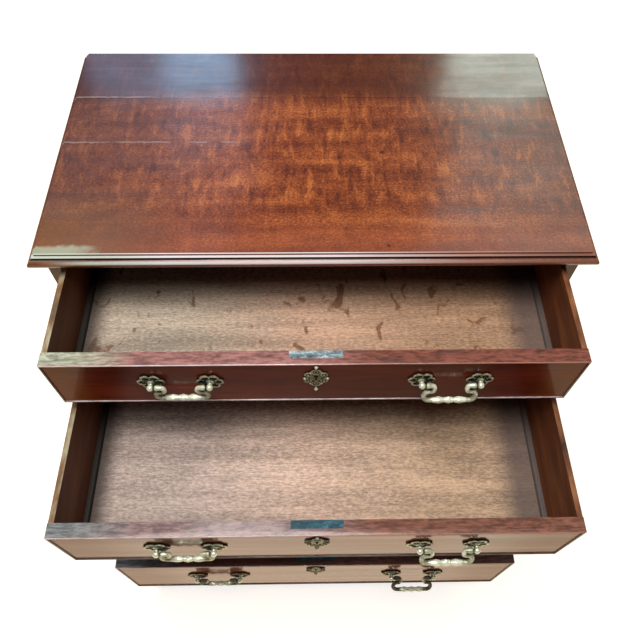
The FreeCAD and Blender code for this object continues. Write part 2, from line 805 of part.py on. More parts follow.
def tails(number, name, low, high, root, tip):
    """Dovetails along one end of a left drawer side, narrow at the root and wide at the tip."""
    count = round(value(f"drawer_{number}_height / tail_pitch"))
    pitch = f"((({high}) - ({low})) / {count})"
    across = (f"-{DRAWER_HALF}", f"-{DRAWER_INNER_HALF}")
    wide = f"({pitch} * tail_share)"
    length = f"abs(({tip}) - ({root}))"
    narrow = f"({wide} - 2 * tail_slope * {length})"
    forward = value(tip) < value(root)
    shapes = []
    for index in range(count):
        middle = f"(({low}) + {index + 0.5} * {pitch})"
        ends = {}
        for place_name, width in (("tip", wide), ("root", narrow)):
            ends[place_name] = (across, (f"{middle} - {width} / 2", f"{middle} + {width} / 2"))
        tip_end, root_end = (tip, *ends["tip"]), (root, *ends["root"])
        near, far = (tip_end, root_end) if forward else (root_end, tip_end)
        shapes.append(wedge(f"drawer_{number}_{name}_{index + 1}", near, far))
    return shapes


def bead_mitre(name, low, high, joint):
    """A prism across the drawer's top edge with 45 degree ends, held back from the mitres by the joint."""
    depth = ("-bead_set", "bead_proud")
    narrow = f"({DRAWER_HALF} - bead_thickness - {joint})"
    wide = f"({DRAWER_HALF} - {joint})"
    prism = wedge(name, (low, (f"-{narrow}", narrow), depth), (high, (f"-{wide}", wide), depth))
    prism.Placement = Placement(Vector(), Rotation(Vector(1, 0, 0), 90))
    return prism


def bead_rebates(name, height):
    """The rebates round a front's edges that take the beads."""
    across, depth = (f"-{DRAWER_HALF}", DRAWER_HALF), ("0", "bead_set")
    top = block(f"{name}_top_rebate", across, depth, (f"{height} - bead_thickness", height))
    low = block(f"{name}_low_rebate", across, depth, ("0", "bead_thickness"))
    left = block(f"{name}_left_rebate", (across[0], f"{across[0]} + bead_thickness"), depth, ("0", height))
    return [top, low, left, mirror(f"{name}_right_rebate", left)]


def build_beads(number, height):
    """Four cockbeads with eased noses, mitred at the corners, set into the front's edges."""
    name = f"drawer_{number}"
    shoulder = "(bead_ease - bead_proud)"
    inner_edge = f"({height} - bead_thickness)"
    section_points = [
        ("bead_set", height),
        (shoulder, height),
        ("-bead_proud", f"{height} - bead_ease"),
        ("-bead_proud", f"{inner_edge} + bead_ease"),
        (shoulder, inner_edge),
        ("bead_set", inner_edge),
    ]
    long_strip = pad(f"{name}_long_bead", "YZ_Plane", section_points, f"2 * {DRAWER_HALF}")
    place(long_strip, x=f"-{DRAWER_HALF}")
    inner = f"({DRAWER_HALF} - bead_thickness)"
    mitre = bead_mitre(f"{name}_bead_mitre", inner_edge, height, "0")
    top_mitre = bead_mitre(f"{name}_top_bead_mitre", inner_edge, height, "bead_joint")
    middle = f"{height} / 2"
    top_bead = common(f"{name}_top_bead", long_strip, top_mitre)
    low_bead = mirror(f"{name}_low_bead", top_bead, "z", middle)

    upright_points = [
        (f"-{DRAWER_HALF}", "bead_set"),
        (f"-{DRAWER_HALF}", shoulder),
        (f"-{DRAWER_HALF} + bead_ease", "-bead_proud"),
        (f"-{inner} - bead_ease", "-bead_proud"),
        (f"-{inner}", shoulder),
        (f"-{inner}", "bead_set"),
    ]
    upright = pad(f"{name}_upright_bead", "XY_Plane", upright_points, height)
    left_bead = cut(f"{name}_left_bead", upright, mitre, mirror(f"{name}_low_mitre", mitre, "z", middle))
    return [top_bead, low_bead, left_bead, mirror(f"{name}_right_bead", left_bead)]


def build_lock(number, height):
    """A drawer lock let into the back of the front, with its plate flush with the top edge."""
    name = f"drawer_{number}_lock"
    back = "front_thickness"
    half, case_half = "(lock_width / 2)", "(lock_case_width / 2)"
    selvedge_low = f"({height} - lock_plate)"
    low = f"({height} - lock_height)"
    selvedge = block(
        f"{name}_selvedge", (f"-{half}", half), (f"{back} - lock_case_depth", back), (selvedge_low, height)
    )
    plate = block(f"{name}_plate", (f"-{half}", half), (f"{back} - lock_plate", back), (low, height))
    case = block(
        f"{name}_box",
        (f"-{case_half}", case_half),
        (f"{back} - lock_case_depth", back),
        (f"{low} + lock_plate", height),
    )
    blank = fuse(f"{name}_blank", selvedge, plate, case)

    bolt_half = "(bolt_width / 2)"
    bolt_y = (f"{back} - bolt_set_in - bolt_thickness", f"{back} - bolt_set_in")
    bolt = block(f"{name}_bar", (f"-{bolt_half}", bolt_half), bolt_y, (f"{height} - bolt_length", height))
    channel = block(
        f"{name}_channel",
        (f"-{bolt_half} - bolt_gap", f"{bolt_half} + bolt_gap"),
        (f"{bolt_y[0]} - bolt_gap", f"{bolt_y[1]} + bolt_gap"),
        (f"{height} - bolt_length - bolt_gap", height),
    )
    key_way = keyhole(f"{name}_keyhole", height, (f"{back} - lock_case_depth", f"{back} - lock_plate"))
    return blank, cut(f"{name}_body", blank, channel, key_way), bolt


def build_drawer(number, masters):
    """One drawer with its lock and handles, as named groups."""
    name = f"drawer_{number}"
    height = f"drawer_{number}_height"
    inside = "front_thickness"
    side_top = f"({height} - side_drop)"
    back_y = (f"{DRAWER_LENGTH} - drawer_back_thickness", DRAWER_LENGTH)
    back_z = (INSIDE_FLOOR, f"{height} - back_drop")
    wide = (f"-{DRAWER_HALF}", DRAWER_HALF)

    tail_tip = "(bead_set + lap_behind_bead)"
    front_tails = tails(number, "front_tail", "0", side_top, inside, tail_tip)
    back_tails = tails(number, "back_tail", *back_z, *back_y)
    back_tails_right = [mirror(f"{tail.Name}_right", tail) for tail in back_tails]
    front_tails_right = [mirror(f"{tail.Name}_right", tail) for tail in front_tails]

    back_blank = block(f"{name}_back_blank", wide, back_y, back_z)
    back = cut(f"{name}_back_board", back_blank, *back_tails, *back_tails_right)
    side_x = (f"-{DRAWER_HALF}", f"-{DRAWER_INNER_HALF}")
    side_blank = block(f"{name}_side_blank", side_x, (inside, DRAWER_LENGTH), ("0", side_top))
    left_side = cut(f"{name}_left_side", fuse(f"{name}_side_tailed", side_blank, *front_tails), back)

    floor_half = f"({DRAWER_INNER_HALF} - slip_width + floor_groove)"
    floor_y = ("front_thickness - floor_groove", DRAWER_LENGTH)
    floor = block(f"{name}_floor", (f"-{floor_half}", floor_half), floor_y, ("floor_lift", INSIDE_FLOOR))
    slip_top = f"({INSIDE_FLOOR} + slip_above_floor)"
    slip_out, slip_in = f"(-{DRAWER_INNER_HALF})", f"(-{DRAWER_INNER_HALF} + slip_width)"
    slip_outline = [
        (slip_out, "0"),
        (slip_in, "0"),
        (slip_in, INSIDE_FLOOR, "left", "slip_above_floor"),
        (f"{slip_in} - slip_above_floor", slip_top),
        (slip_out, slip_top),
    ]
    slip_length = f"{DRAWER_LENGTH} - drawer_back_thickness - front_thickness"
    slip_blank = place(pad(f"{name}_slip_blank", "XZ_Plane", slip_outline, slip_length), y=inside)
    left_slip = cut(f"{name}_left_slip", slip_blank, floor)

    beads = build_beads(number, height)
    lock_blank, lock, bolt = build_lock(number, height)
    handle_level = f"({height} * (1 - handle_share))"
    post_places = []
    for sign in ("-", ""):
        for post in ("- handle_bore / 2", "+ handle_bore / 2"):
            post_places.append(f"({sign}handle_spacing / 2 {post})")
    hole_half = "(shank_side / 2 + shank_gap)"
    holes = []
    for index, x in enumerate(post_places):
        across = (f"{x} - {hole_half}", f"{x} + {hole_half}")
        upright = (f"{handle_level} - {hole_half}", f"{handle_level} + {hole_half}")
        holes.append(block(f"{name}_post_hole_{index + 1}", across, ("0", inside), upright))
    front_blank = block(f"{name}_front_blank", wide, ("0", inside), ("0", height))
    key_way = keyhole(f"{name}_keyhole", height, ("0", f"{inside} - lock_case_depth"))
    sockets = [*front_tails, *front_tails_right]
    rebates = bead_rebates(name, height)
    front = cut(f"{name}_front_board", front_blank, lock_blank, key_way, floor, *rebates, *holes, *sockets)

    fittings = []
    for index, x in enumerate(post_places):
        for kind in ("rosette", "post", "nut"):
            fittings.append(copy_of(f"{name}_{kind}_{index + 1}", masters[kind], x, "0", handle_level))
    bails = {}
    for side, x in (("left", "-handle_spacing / 2"), ("right", "handle_spacing / 2")):
        hung = copy_of(f"{name}_{side}_bail_piece", masters["bail"], x, "-pivot_out", handle_level)
        if side == "right":
            hung.Placement = Placement(hung.Placement.Base, Rotation(Vector(-1, 0, 0), 1))
            bind(hung, "Placement.Rotation.Angle", f"bail_{number}_right_swing")
        bails[side] = hung
    plate = copy_of(f"{name}_plate_piece", masters["escutcheon"], "0", "0", f"{height} - plate_drop")

    nodes = [
        group(f"{name}_front", front),
        group(f"{name}_sides", left_side, mirror(f"{name}_right_side", left_side)),
        group(f"{name}_back", back),
        group(f"{name}_bottom", floor, left_slip, mirror(f"{name}_right_slip", left_slip)),
        group(f"{name}_cockbeads", *beads),
        group(f"{name}_lock_case", lock),
        group(f"{name}_lock_bolt", bolt),
        group(f"{name}_escutcheon", plate),
        group(f"{name}_handle_posts", *fittings),
        group(f"{name}_left_bail", bails["left"]),
        group(f"{name}_right_bail", bails["right"]),
    ]
    face = f"{FRONT} - drawer_{number}_pull_share * {DRAWER_LENGTH}"
    for node in nodes:
        place(node, y=face, z=f"{FLOOR_LEVEL[number]} + running_gap")
    return nodes


def build_chest():
    """Every named piece of the chest, in the order it is put together."""
    nodes = [*build_top(), *build_sides(), build_back(), build_bottom(), *build_rails()]
    nodes += [build_dust_boards(), *build_runners(), build_stops(), build_base_moulding(), *build_feet()]
    masters = {"rosette": build_rosette(), "post": build_post(), "nut": build_nut()}
    masters["bail"] = build_bail()
    masters["escutcheon"] = build_escutcheon()
    for number in DRAWERS:
        nodes += build_drawer(number, masters)
    return nodes


def check(nodes):
    """Stop if anything in the document failed, or a named piece has no sound shape."""
    failed = [item.Name for item in doc.Objects if {"Invalid", "Error"} & set(item.State)]
    unsound = [node.Name for node in nodes if node.Shape.isNull() or not node.Shape.isValid()]
    if failed or unsound:
        raise RuntimeError(f"failed: {failed}, unsound: {unsound}")


chest = build_chest()
doc.recompute()
check(chest)
os.makedirs("parts", exist_ok=True)
for piece in chest:
    piece.Shape.exportStep(f"parts/{piece.Label}.step")
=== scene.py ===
import json
import math

import bmesh
import bpy
import numpy as np
from mathutils import Matrix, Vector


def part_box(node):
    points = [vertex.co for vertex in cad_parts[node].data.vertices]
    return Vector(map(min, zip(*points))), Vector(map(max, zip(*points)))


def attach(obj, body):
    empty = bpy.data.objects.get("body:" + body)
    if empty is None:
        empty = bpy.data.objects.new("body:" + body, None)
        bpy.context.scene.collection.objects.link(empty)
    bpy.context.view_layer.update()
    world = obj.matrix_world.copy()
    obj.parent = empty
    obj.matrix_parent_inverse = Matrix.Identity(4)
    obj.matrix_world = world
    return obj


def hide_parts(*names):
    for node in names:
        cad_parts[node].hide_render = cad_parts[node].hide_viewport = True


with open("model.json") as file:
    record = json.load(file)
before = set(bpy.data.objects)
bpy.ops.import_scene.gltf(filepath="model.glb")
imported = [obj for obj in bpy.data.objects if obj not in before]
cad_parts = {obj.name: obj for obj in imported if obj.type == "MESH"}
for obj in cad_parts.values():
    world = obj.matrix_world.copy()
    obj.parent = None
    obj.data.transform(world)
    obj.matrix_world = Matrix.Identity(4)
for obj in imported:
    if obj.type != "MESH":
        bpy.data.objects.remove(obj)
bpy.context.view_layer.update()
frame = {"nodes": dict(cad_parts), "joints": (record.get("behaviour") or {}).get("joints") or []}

# The looks of a small mahogany chest of drawers: cast brass, bead mouldings, polish, wear, light and camera.
# Everything is in metres, with the chest's front towards -Y.

DRAWERS = (1, 2, 3, 4)
HINGES = {joint["child"]: joint for joint in frame["joints"] if joint["type"] == "hinge"}

# Handle sizes, as the solids have them, and how far a bail swings towards the drawer in degrees
POST_SPREAD = 0.083
PIVOT_OUT = 0.0115
FRONT_THICKNESS = 0.020
BAIL_DROP = 0.031
BAIL_FREE_SWING = 8
HANDLE_PLACE = 0.191

# Surfaces worked out as whole arrays

MERGE_GAP = 1e-6
SLIVER_LENGTH = 1e-7


def surface(points, wrap_rows=False, wrap_columns=False):
    """Vertices and four-sided faces of a grid of points, joined end to start where it wraps."""
    rows, columns = points.shape[:2]
    number = np.arange(rows * columns).reshape(rows, columns)
    if wrap_rows:
        number = np.vstack([number, number[:1]])
    if wrap_columns:
        number = np.hstack([number, number[:, :1]])
    faces = np.stack([number[:-1, :-1], number[1:, :-1], number[1:, 1:], number[:-1, 1:]], axis=-1)
    return points.reshape(-1, 3), faces.reshape(-1, 4)


def moved(shape, offset):
    """The same surface carried to another place."""
    points, faces = shape
    return points + np.asarray(offset), faces


def piece(name, dressed, crease=40):
    """One mesh object from pairs of a material and its surfaces: poles merged, faces outwards, smooth up to
    a crease angle."""
    shapes = [shape for _, group in dressed for shape in group]
    counts = np.cumsum([0] + [len(points) for points, _ in shapes])
    points = np.vstack([points for points, _ in shapes])
    faces = np.vstack([faces + start for (_, faces), start in zip(shapes, counts)])
    face_counts = [sum(len(faces) for _, faces in group) for _, group in dressed]
    slots = np.repeat(np.arange(len(dressed)), face_counts)
    mesh = bpy.data.meshes.new(name)
    mesh.from_pydata(points.tolist(), [], faces.tolist())
    for material, _ in dressed:
        mesh.materials.append(material)
    mesh.polygons.foreach_set("material_index", slots)
    work = bmesh.new()
    work.from_mesh(mesh)
    bmesh.ops.remove_doubles(work, verts=work.verts, dist=MERGE_GAP)
    bmesh.ops.dissolve_degenerate(work, edges=work.edges, dist=SLIVER_LENGTH)
    bmesh.ops.recalc_face_normals(work, faces=work.faces)
    work.to_mesh(mesh)
    work.free()
    mesh.polygons.foreach_set("use_smooth", np.ones(len(mesh.polygons), bool))
    mesh.set_sharp_from_angle(angle=math.radians(crease))
    made = bpy.data.objects.new(name, mesh)
    bpy.context.scene.collection.objects.link(made)
    return made


def tube(path, radius, sides=16, closed=False, squash=1.0):
    """A round bar along a path that lies square to Y: centre plus radius times cosine across the path and
    sine along Y, with flat ends. The radius is one number, one per path point, or one per point and side."""
    radius = np.asarray(radius, float)
    if radius.ndim < 2:
        radius = np.broadcast_to(radius, len(path))[:, None]
    radius = np.broadcast_to(radius, (len(path), sides))
    if closed:
        ahead = np.roll(path, -1, axis=0) - np.roll(path, 1, axis=0)
    else:
        ahead = np.gradient(path, axis=0)
        ahead = ahead[[0, *range(len(path)), -1]]
        path = path[[0, *range(len(path)), -1]]
        radius = np.vstack([np.zeros(sides), radius, np.zeros(sides)])
    ahead = ahead / np.linalg.norm(ahead, axis=1, keepdims=True)
    across = np.cross(ahead, np.array([0.0, 1.0, 0.0]))
    angle = np.linspace(0, 2 * np.pi, sides, endpoint=False)
    points = path[:, None] + (radius * np.cos(angle))[..., None] * across[:, None]
    points[..., 1] += squash * radius * np.sin(angle)
    return surface(points, wrap_rows=closed, wrap_columns=True)


def lathe(profile, sides=24, axis="y"):
    """A turned form about the line through the origin along Y or Z: radius times cosine and sine round it."""
    radius, along = np.asarray(profile, float).T
    angle = np.linspace(0, 2 * np.pi, sides, endpoint=False)
    around = radius[:, None] * np.cos(angle), radius[:, None] * np.sin(angle)
    level = np.repeat(along[:, None], sides, axis=1)
    order = (around[0], level, around[1]) if axis == "y" else (around[0], around[1], level)
    return surface(np.stack(order, axis=-1), wrap_columns=True)


def eased(places, values, at, softness):
    """Values between given places, with each corner of the line rounded by a moving average."""
    fine = np.linspace(places[0], places[-1], 600)
    line = np.interp(fine, places, values)
    width = max(1, int(softness / (fine[1] - fine[0])))
    padded = np.pad(line, width, mode="edge")
    smooth = np.convolve(padded, np.ones(2 * width + 1) / (2 * width + 1), mode="valid")
    return np.interp(at, fine, smooth)


def ball(radius, centre, sides=16, rings=9):
    """A sphere: a half circle turned about Y."""
    turn = np.linspace(0, np.pi, rings)
    return moved(lathe(np.stack([radius * np.sin(turn), -radius * np.cos(turn)], axis=1), sides), centre)


def small_ball(radius, centre):
    """A ball with fewer faces, for the smallest details."""
    return ball(radius, centre, sides=10, rings=7)


# Brass castings, each about its own middle on the drawer's face, with -Y outwards

ROSETTE_REACH = 0.0200
ROSETTE_CUSP = 0.0140
ROSETTE_LOBES = 6
LOBE_TURN = 2 * math.pi / ROSETTE_LOBES
RIM_HALF = 0.0022
HEAD_RADIUS = 0.0050
# How far the escutcheon's bars stand out, the height of its rings, and where its scrolls curl
PLATE_OUT = 0.0012
RING_LEVEL = 0.0175
SCROLL_X, SCROLL_Z = 0.0112, 0.0092


def rosette_rim():
    """The thick lobed rim of a rosette. Its reach follows the size of the cosine of half the lobe angle."""
    roundness, thinnest, squash = 0.6, 0.72, 0.8
    turn = np.linspace(0, 2 * np.pi, 144, endpoint=False)
    lobe = np.abs(np.cos(ROSETTE_LOBES * turn / 2)) ** roundness
    reach = ROSETTE_CUSP + (ROSETTE_REACH - ROSETTE_CUSP) * lobe - RIM_HALF
    level = np.full_like(turn, -squash * RIM_HALF)
    path = np.stack([reach * np.cos(turn), level, reach * np.sin(turn)], axis=1)
    bar = RIM_HALF * (thinnest + (1 - thinnest) * lobe)
    return tube(path, bar, sides=12, closed=True, squash=squash)


def rosette_ground():
    """Inside the rim: a domed boss, ribs from it to the cusps, and a curled leaf in each lobe."""
    boss = [
        (0.0, 0.0), (0.0088, 0.0), (0.0094, -0.0012),
        (0.0086, -0.0024), (0.0066, -0.0027), (0.0, -0.0027),
    ]
    rib_start, rib_end = 0.0080, ROSETTE_CUSP - 0.0020
    rib_out, rib_arch, rib_thin, rib_swell = 0.0012, 0.0006, 0.0011, 0.0007
    run = np.linspace(0, 1, 12)
    out = rib_start + run * (rib_end - rib_start)
    level = -rib_out - rib_arch * np.sin(np.pi * run)
    shapes = [lathe(boss, sides=32)]
    for index in range(ROSETTE_LOBES):
        cusp = (index + 0.5) * LOBE_TURN
        rib = np.stack([out * np.cos(cusp), level, out * np.sin(cusp)], axis=1)
        shapes.append(tube(rib, rib_thin + rib_swell * (1 - run), sides=8))
        shapes.append(leaf_curl(index * LOBE_TURN))
    return shapes


def rosette_beads():
    """A small ball on each rib of a rosette."""
    reach, out, radius = 0.0104, 0.0020, 0.0017
    turns = (np.arange(ROSETTE_LOBES) + 0.5) * LOBE_TURN
    return [small_ball(radius, (reach * np.cos(turn), -out, reach * np.sin(turn))) for turn in turns]


def leaf_curl(turn):
    """A small comma-shaped curl in a lobe: a spiral whose radius shrinks along its length."""
    middle, reach, shrink, level = 0.0134, 0.0030, 0.55, -0.0011
    thinnest, swell = 0.0003, 0.0009
    run = np.linspace(0, 1, 22)
    swirl = np.pi * (0.2 + 1.5 * run)
    size = reach * (1 - shrink * run)
    out = middle + size * np.cos(swirl)
    side = size * np.sin(swirl)
    x = out * np.cos(turn) - side * np.sin(turn)
    z = out * np.sin(turn) + side * np.cos(turn)
    path = np.stack([x, np.full_like(run, level), z], axis=1)
    return tube(path, thinnest + swell * np.sin(np.pi * (0.08 + 0.84 * run)), sides=7)


def handle_post():
    """A turned post: a flared foot on the rosette, a short neck, a collar and a ball head over the pivot."""
    turn = np.linspace(0.24, 1.0, 14) * np.pi
    head = [(HEAD_RADIUS * math.sin(angle), -PIVOT_OUT + HEAD_RADIUS * math.cos(angle)) for angle in turn]
    neck = [(0.0, -0.0020), (0.0058, -0.0024), (0.0057, -0.0032), (0.0043, -0.0040), (0.0036, -0.0048)]
    collar = [(0.0035, -0.0053), (0.0043, -0.0057), (0.0043, -0.0063), (0.0036, -0.0068)]
    return lathe(neck + collar + head, sides=24)


def square_nut():
    """A square nut with eased corners on the end of its square shank, inside the drawer front.
    The radius is the half side over a soft maximum of the sizes of cosine and sine."""
    power = 10
    profile = [
        (0.0, 0.0), (0.0063, 0.0), (0.0065, 0.0004), (0.0065, 0.0034), (0.0058, 0.0040),
        (0.0031, 0.0040), (0.0030, 0.0064), (0.0026, 0.0069), (0.0, 0.0069),
    ]
    half, along = np.array(profile).T
    turn = np.linspace(0, 2 * np.pi, 48, endpoint=False)
    square = 1 / (np.abs(np.cos(turn)) ** power + np.abs(np.sin(turn)) ** power) ** (1 / power)
    radius = half[:, None] * square
    level = np.repeat(along[:, None] + FRONT_THICKNESS, len(turn), axis=1)
    points = np.stack([radius * np.cos(turn), level, radius * np.sin(turn)], axis=-1)
    return surface(points, wrap_columns=True)


def bail_line():
    """Half of a bail's middle line, from its pin to the middle of the grip, as evenly spaced points.
    Inwards from the post, round a half oval under, outwards, round a larger half oval, then along."""
    post = POST_SPREAD / 2
    pin_reach, curl_inset, bend_shift = 0.0040, 0.0140, 0.0015
    curl_x, curl_wide, curl_tall = post - curl_inset, 0.0038, 0.0060
    bend_x, bend_wide = curl_x + bend_shift, 0.0080
    bend_tall = BAIL_DROP / 2 - curl_tall
    half_turn = np.linspace(0, np.pi, 60)
    rise = np.cos(half_turn) - 1
    parts = [
        np.stack([np.linspace(post + pin_reach, curl_x, 30), np.zeros(30)], axis=1),
        np.stack([curl_x - curl_wide * np.sin(half_turn), curl_tall * rise], axis=1),
        np.stack([bend_x + bend_wide * np.sin(half_turn), bend_tall * rise - 2 * curl_tall], axis=1),
        np.stack([np.linspace(bend_x, 0, 60), np.full(60, -BAIL_DROP)], axis=1),
    ]
    line = np.vstack(parts)
    length = np.concatenate([[0], np.cumsum(np.linalg.norm(np.diff(line, axis=0), axis=1))])
    even = np.linspace(0, length[-1], 150)
    return np.stack([np.interp(even, length, line[:, 0]), np.interp(even, length, line[:, 1])], axis=1), even


def bail():
    """A cast swan-neck bail hanging from its pivot at the origin: a round bar whose radius swells at the
    curls and in two leaf-carved stretches of the grip, with a ribbed knop and a drop in the middle."""
    half, run = bail_line()
    end = run[-1]
    from_pin = [
        (0.0, 0.0019), (0.0093, 0.0019), (0.0099, 0.0037), (0.0126, 0.0044),
        (0.0190, 0.0036), (0.0270, 0.0039), (0.0400, 0.0035), (0.0520, 0.0039),
    ]
    from_middle = [
        (0.0260, 0.0037), (0.0150, 0.0051), (0.0085, 0.0038), (0.0070, 0.0031),
        (0.0052, 0.0045), (0.0040, 0.0041), (0.0, 0.0051),
    ]
    places, sizes = zip(*from_pin, *((end - back, size) for back, size in from_middle))
    radius = eased(places, sizes, run, softness=0.0007)

    leaf_back, leaf_spread, leaf_twist, leaf_depth = 0.0155, 0.0060, 260, 0.075
    knop_spread, rib_depth = 0.0040, 0.05
    angle = np.linspace(0, 2 * np.pi, 20, endpoint=False)
    carved = np.exp(-((run - (end - leaf_back)) / leaf_spread) ** 2)
    knop = np.exp(-((run - end) / knop_spread) ** 2)
    leaf = np.cos(4 * angle[None] + (run[:, None] - end) * leaf_twist)
    ribs = np.cos(10 * angle)[None]
    radius = radius[:, None] * (1 + leaf_depth * carved[:, None] * leaf + rib_depth * knop[:, None] * ribs)
    both = np.vstack([half, half[-2::-1] * (-1, 1)])
    path = np.stack([both[:, 0], np.zeros(len(both)), both[:, 1]], axis=1)
    drop = [
        (0.0, -0.0045), (0.0020, -0.0052), (0.0013, -0.0060),
        (0.0021, -0.0072), (0.0016, -0.0082), (0.0, -0.0090),
    ]
    sunk = 0.0012
    hung_drop = moved(lathe(drop, sides=14, axis="z"), (0, 0, sunk - BAIL_DROP))
    return [tube(path, np.vstack([radius, radius[-2::-1]]), sides=20), hung_drop]


def pierced_plate():
    """The pierced part of the escutcheon: rings above and below the shield, scrolls beside them and short
    bars to the tips."""
    shapes = []
    for sign in (1, -1):
        shapes.append(ring(0, sign * RING_LEVEL, 0.0062, 0.0016))
        shapes.append(ring(0, sign * RING_LEVEL, 0.0026, 0.0010))
        stem = np.linspace(0.0240, 0.0320, 10) * sign
        shapes.append(tube(np.stack([0 * stem, 0 * stem - PLATE_OUT, stem], axis=1), 0.0014, sides=8))
        arm = np.linspace(0.0105, 0.0155, 8) * sign
        shapes.append(tube(np.stack([arm, 0 * arm - PLATE_OUT, 0 * arm], axis=1), 0.0013, sides=8))
        for side in (1, -1):
            shapes.append(ring(side * SCROLL_X, sign * SCROLL_Z, 0.0043, 0.0014))
    return shapes


def plate_tips():
    """The balls on the escutcheon: at its four tips, on its stems, in its scrolls and by its rings."""
    shapes = []
    for sign in (1, -1):
        shapes.append(ball(0.0030, (0, -0.0022, sign * 0.0334)))
        shapes.append(small_ball(0.0018, (0, -0.0016, sign * 0.0284)))
        shapes.append(ball(0.0024, (sign * 0.0160, -0.0020, 0.0)))
        for side in (1, -1):
            shapes.append(small_ball(0.0015, (side * SCROLL_X, -0.0016, sign * SCROLL_Z)))
            shapes.append(small_ball(0.0018, (side * 0.0080, -0.0017, sign * 0.0158)))
    return shapes


def ring(x, z, reach, bar):
    """A closed round bar along a circle in the plate."""
    turn = np.linspace(0, 2 * np.pi, 48, endpoint=False)
    level = np.full_like(turn, -PLATE_OUT)
    path = np.stack([x + reach * np.cos(turn), level, z + reach * np.sin(turn)], axis=1)
    return tube(path, bar, sides=8, closed=True, squash=0.85)


def keyhole_shield():
    """A domed plate between the keyhole's outline and a wavy oval, closed behind.
    The keyhole's radius is the larger of its round and, below, its slot's reach in that direction."""
    hole_radius, hole_level, slot_half, slot_reach = 0.0030, 0.0050, 0.0015, 0.0100
    oval, wave_depth, waves, tallness = 0.0104, 0.0006, 8, 1.1
    turn = np.linspace(0, 2 * np.pi, 96, endpoint=False)
    sideways, upright = (np.maximum(np.abs(part), 1e-3) for part in (np.cos(turn), np.sin(turn)))
    slot = np.minimum(slot_half / sideways, slot_reach / upright)
    hole = np.where(np.sin(turn) < 0, np.maximum(hole_radius, slot), hole_radius)
    outer = oval + wave_depth * np.cos(waves * turn)
    inner_points = np.stack([hole * np.cos(turn), hole_level + hole * np.sin(turn)], axis=1)
    outer_points = np.stack([outer * np.cos(turn), tallness * outer * np.sin(turn)], axis=1)
    share = np.array([0, 0, 0.12, 0.35, 0.6, 0.85, 1, 1])[:, None, None]
    out = np.array([0, 0.0016, 0.0022, 0.0020, 0.0022, 0.0019, 0.0010, 0])
    flat = inner_points + share * (outer_points - inner_points)
    level = np.repeat(-out[:, None], len(turn), axis=1)
    return surface(np.stack([flat[..., 0], level, flat[..., 1]], axis=-1), wrap_rows=True, wrap_columns=True)


# Bead mouldings, with sizes as the solids have them

BEAD_THICKNESS = 0.003
BEAD_PROUD = 0.002
BEAD_SET = 0.005


def bead_frame(low, high):
    """A cockbead round a drawer front: a strip with a half-round nose, carried round the four edges with
    mitred corners. The nose is a half circle of the bead's own thickness."""
    turn = np.linspace(0, np.pi, 9)
    half = BEAD_THICKNESS / 2
    inset = np.concatenate([[0], half - half * np.cos(turn), [BEAD_THICKNESS]])
    nose_root = -BEAD_PROUD + half
    out = np.concatenate([[BEAD_SET], nose_root - half * np.sin(turn), [BEAD_SET]])
    corners = np.array([(low[0], low[2]), (high[0], low[2]), (high[0], high[2]), (low[0], high[2])])
    inwards = np.array([(1, 1), (-1, 1), (-1, -1), (1, -1)])
    flat = corners[:, None] + inwards[:, None] * inset[None, :, None]
    level = np.repeat(out[None], 4, axis=0) + low[1]
    points = np.stack([flat[..., 0], level, flat[..., 1]], axis=-1)
    return surface(points, wrap_rows=True, wrap_columns=True)


# Materials

# Where the top's pale crack runs, and the places across and in depth and the radii of its dark spots
CRACK_DEPTH = 0.1885
DARK_SPOTS = ((-0.219, 0.3755, 0.0025), (0.109, 0.1645, 0.0045), (0.106, -0.0245, 0.0028))
# The top's moulded edge, as the solids have it
FRONT_ARRIS = -0.0375
STEP_DROP = 0.0035
QUIRK_TALL = 0.0035
# Colours of a rubbed top edge at its left end, over its middle and at its right end
# Their cool pale left ends are partly wear and partly a painted highlight
RED_EDGE = ((0.42, 0.44, 0.33), (0.315, 0.148, 0.134), (0.200, 0.070, 0.050))
PINK_EDGE = ((0.22, 0.235, 0.24), (0.29, 0.190, 0.190), (0.215, 0.092, 0.065))
# The shaded edge carries painted shade from the drawer above
SHADED_EDGE = ((0.13, 0.130, 0.140), (0.075, 0.020, 0.016), (0.13, 0.060, 0.050))
# Half of a rubbed edge's length, and where a front's ends have their full colour
EDGE_HALF = 0.38
FULL_END = 0.35
# The gloss of a front's face and ends, the ends' painted reflection colour and where from the middle they
# begin
FIRST_POLISH = (0.45, 0.20, (0.34, 0.115, 0.016), 0.31)
LOWER_POLISH = (0.90, 0.48, (0.36, 0.125, 0.012), 0.22)
# How strong the painted highlights on the bead mouldings' noses are
FULL_HIGHLIGHT = 0.9
SLIGHT_HIGHLIGHT = 0.15
# Colours of the left, middle and right parts of the first drawer's floor and of the others
# The greyer left parts are painted cool window light, and the darker ends painted shade
STAINED_TONES = ((0.460, 0.385, 0.305), (0.500, 0.322, 0.230), (0.415, 0.252, 0.155))
PLAIN_TONES = ((0.475, 0.380, 0.340), (0.600, 0.432, 0.345), (0.490, 0.338, 0.225))
# Painted shade by the sides of a drawer's floor and on its slips: where across it begins and is full, share,
# colour
SIDE_SHADE = (
    (-0.318, -0.356, 0.90, (0.045, 0.032, 0.026)),
    (0.285, 0.335, 0.85, (0.100, 0.072, 0.068)),
    (-0.3568, -0.3578, 0.96, (0.012, 0.009, 0.007)),
    (0.3568, 0.3578, 0.80, (0.082, 0.066, 0.064)),
)
# Where from its middle a bail's necks begin and are full, and how metallic the brass looks
NECKS = (0.018, 0.027)
BAIL_METAL = 0.28
CAST_METAL = 0.45
# Dark, middle and bright steel of the locks
# The first drawer's lighter, bluer steel is partly a painted reflection of the window
BRIGHT_STEEL = ((0.060, 0.088, 0.102), (0.22, 0.29, 0.320), (0.55, 0.64, 0.68))
BLUE_STEEL = ((0.008, 0.030, 0.043), (0.014, 0.060, 0.086), (0.038, 0.120, 0.165))


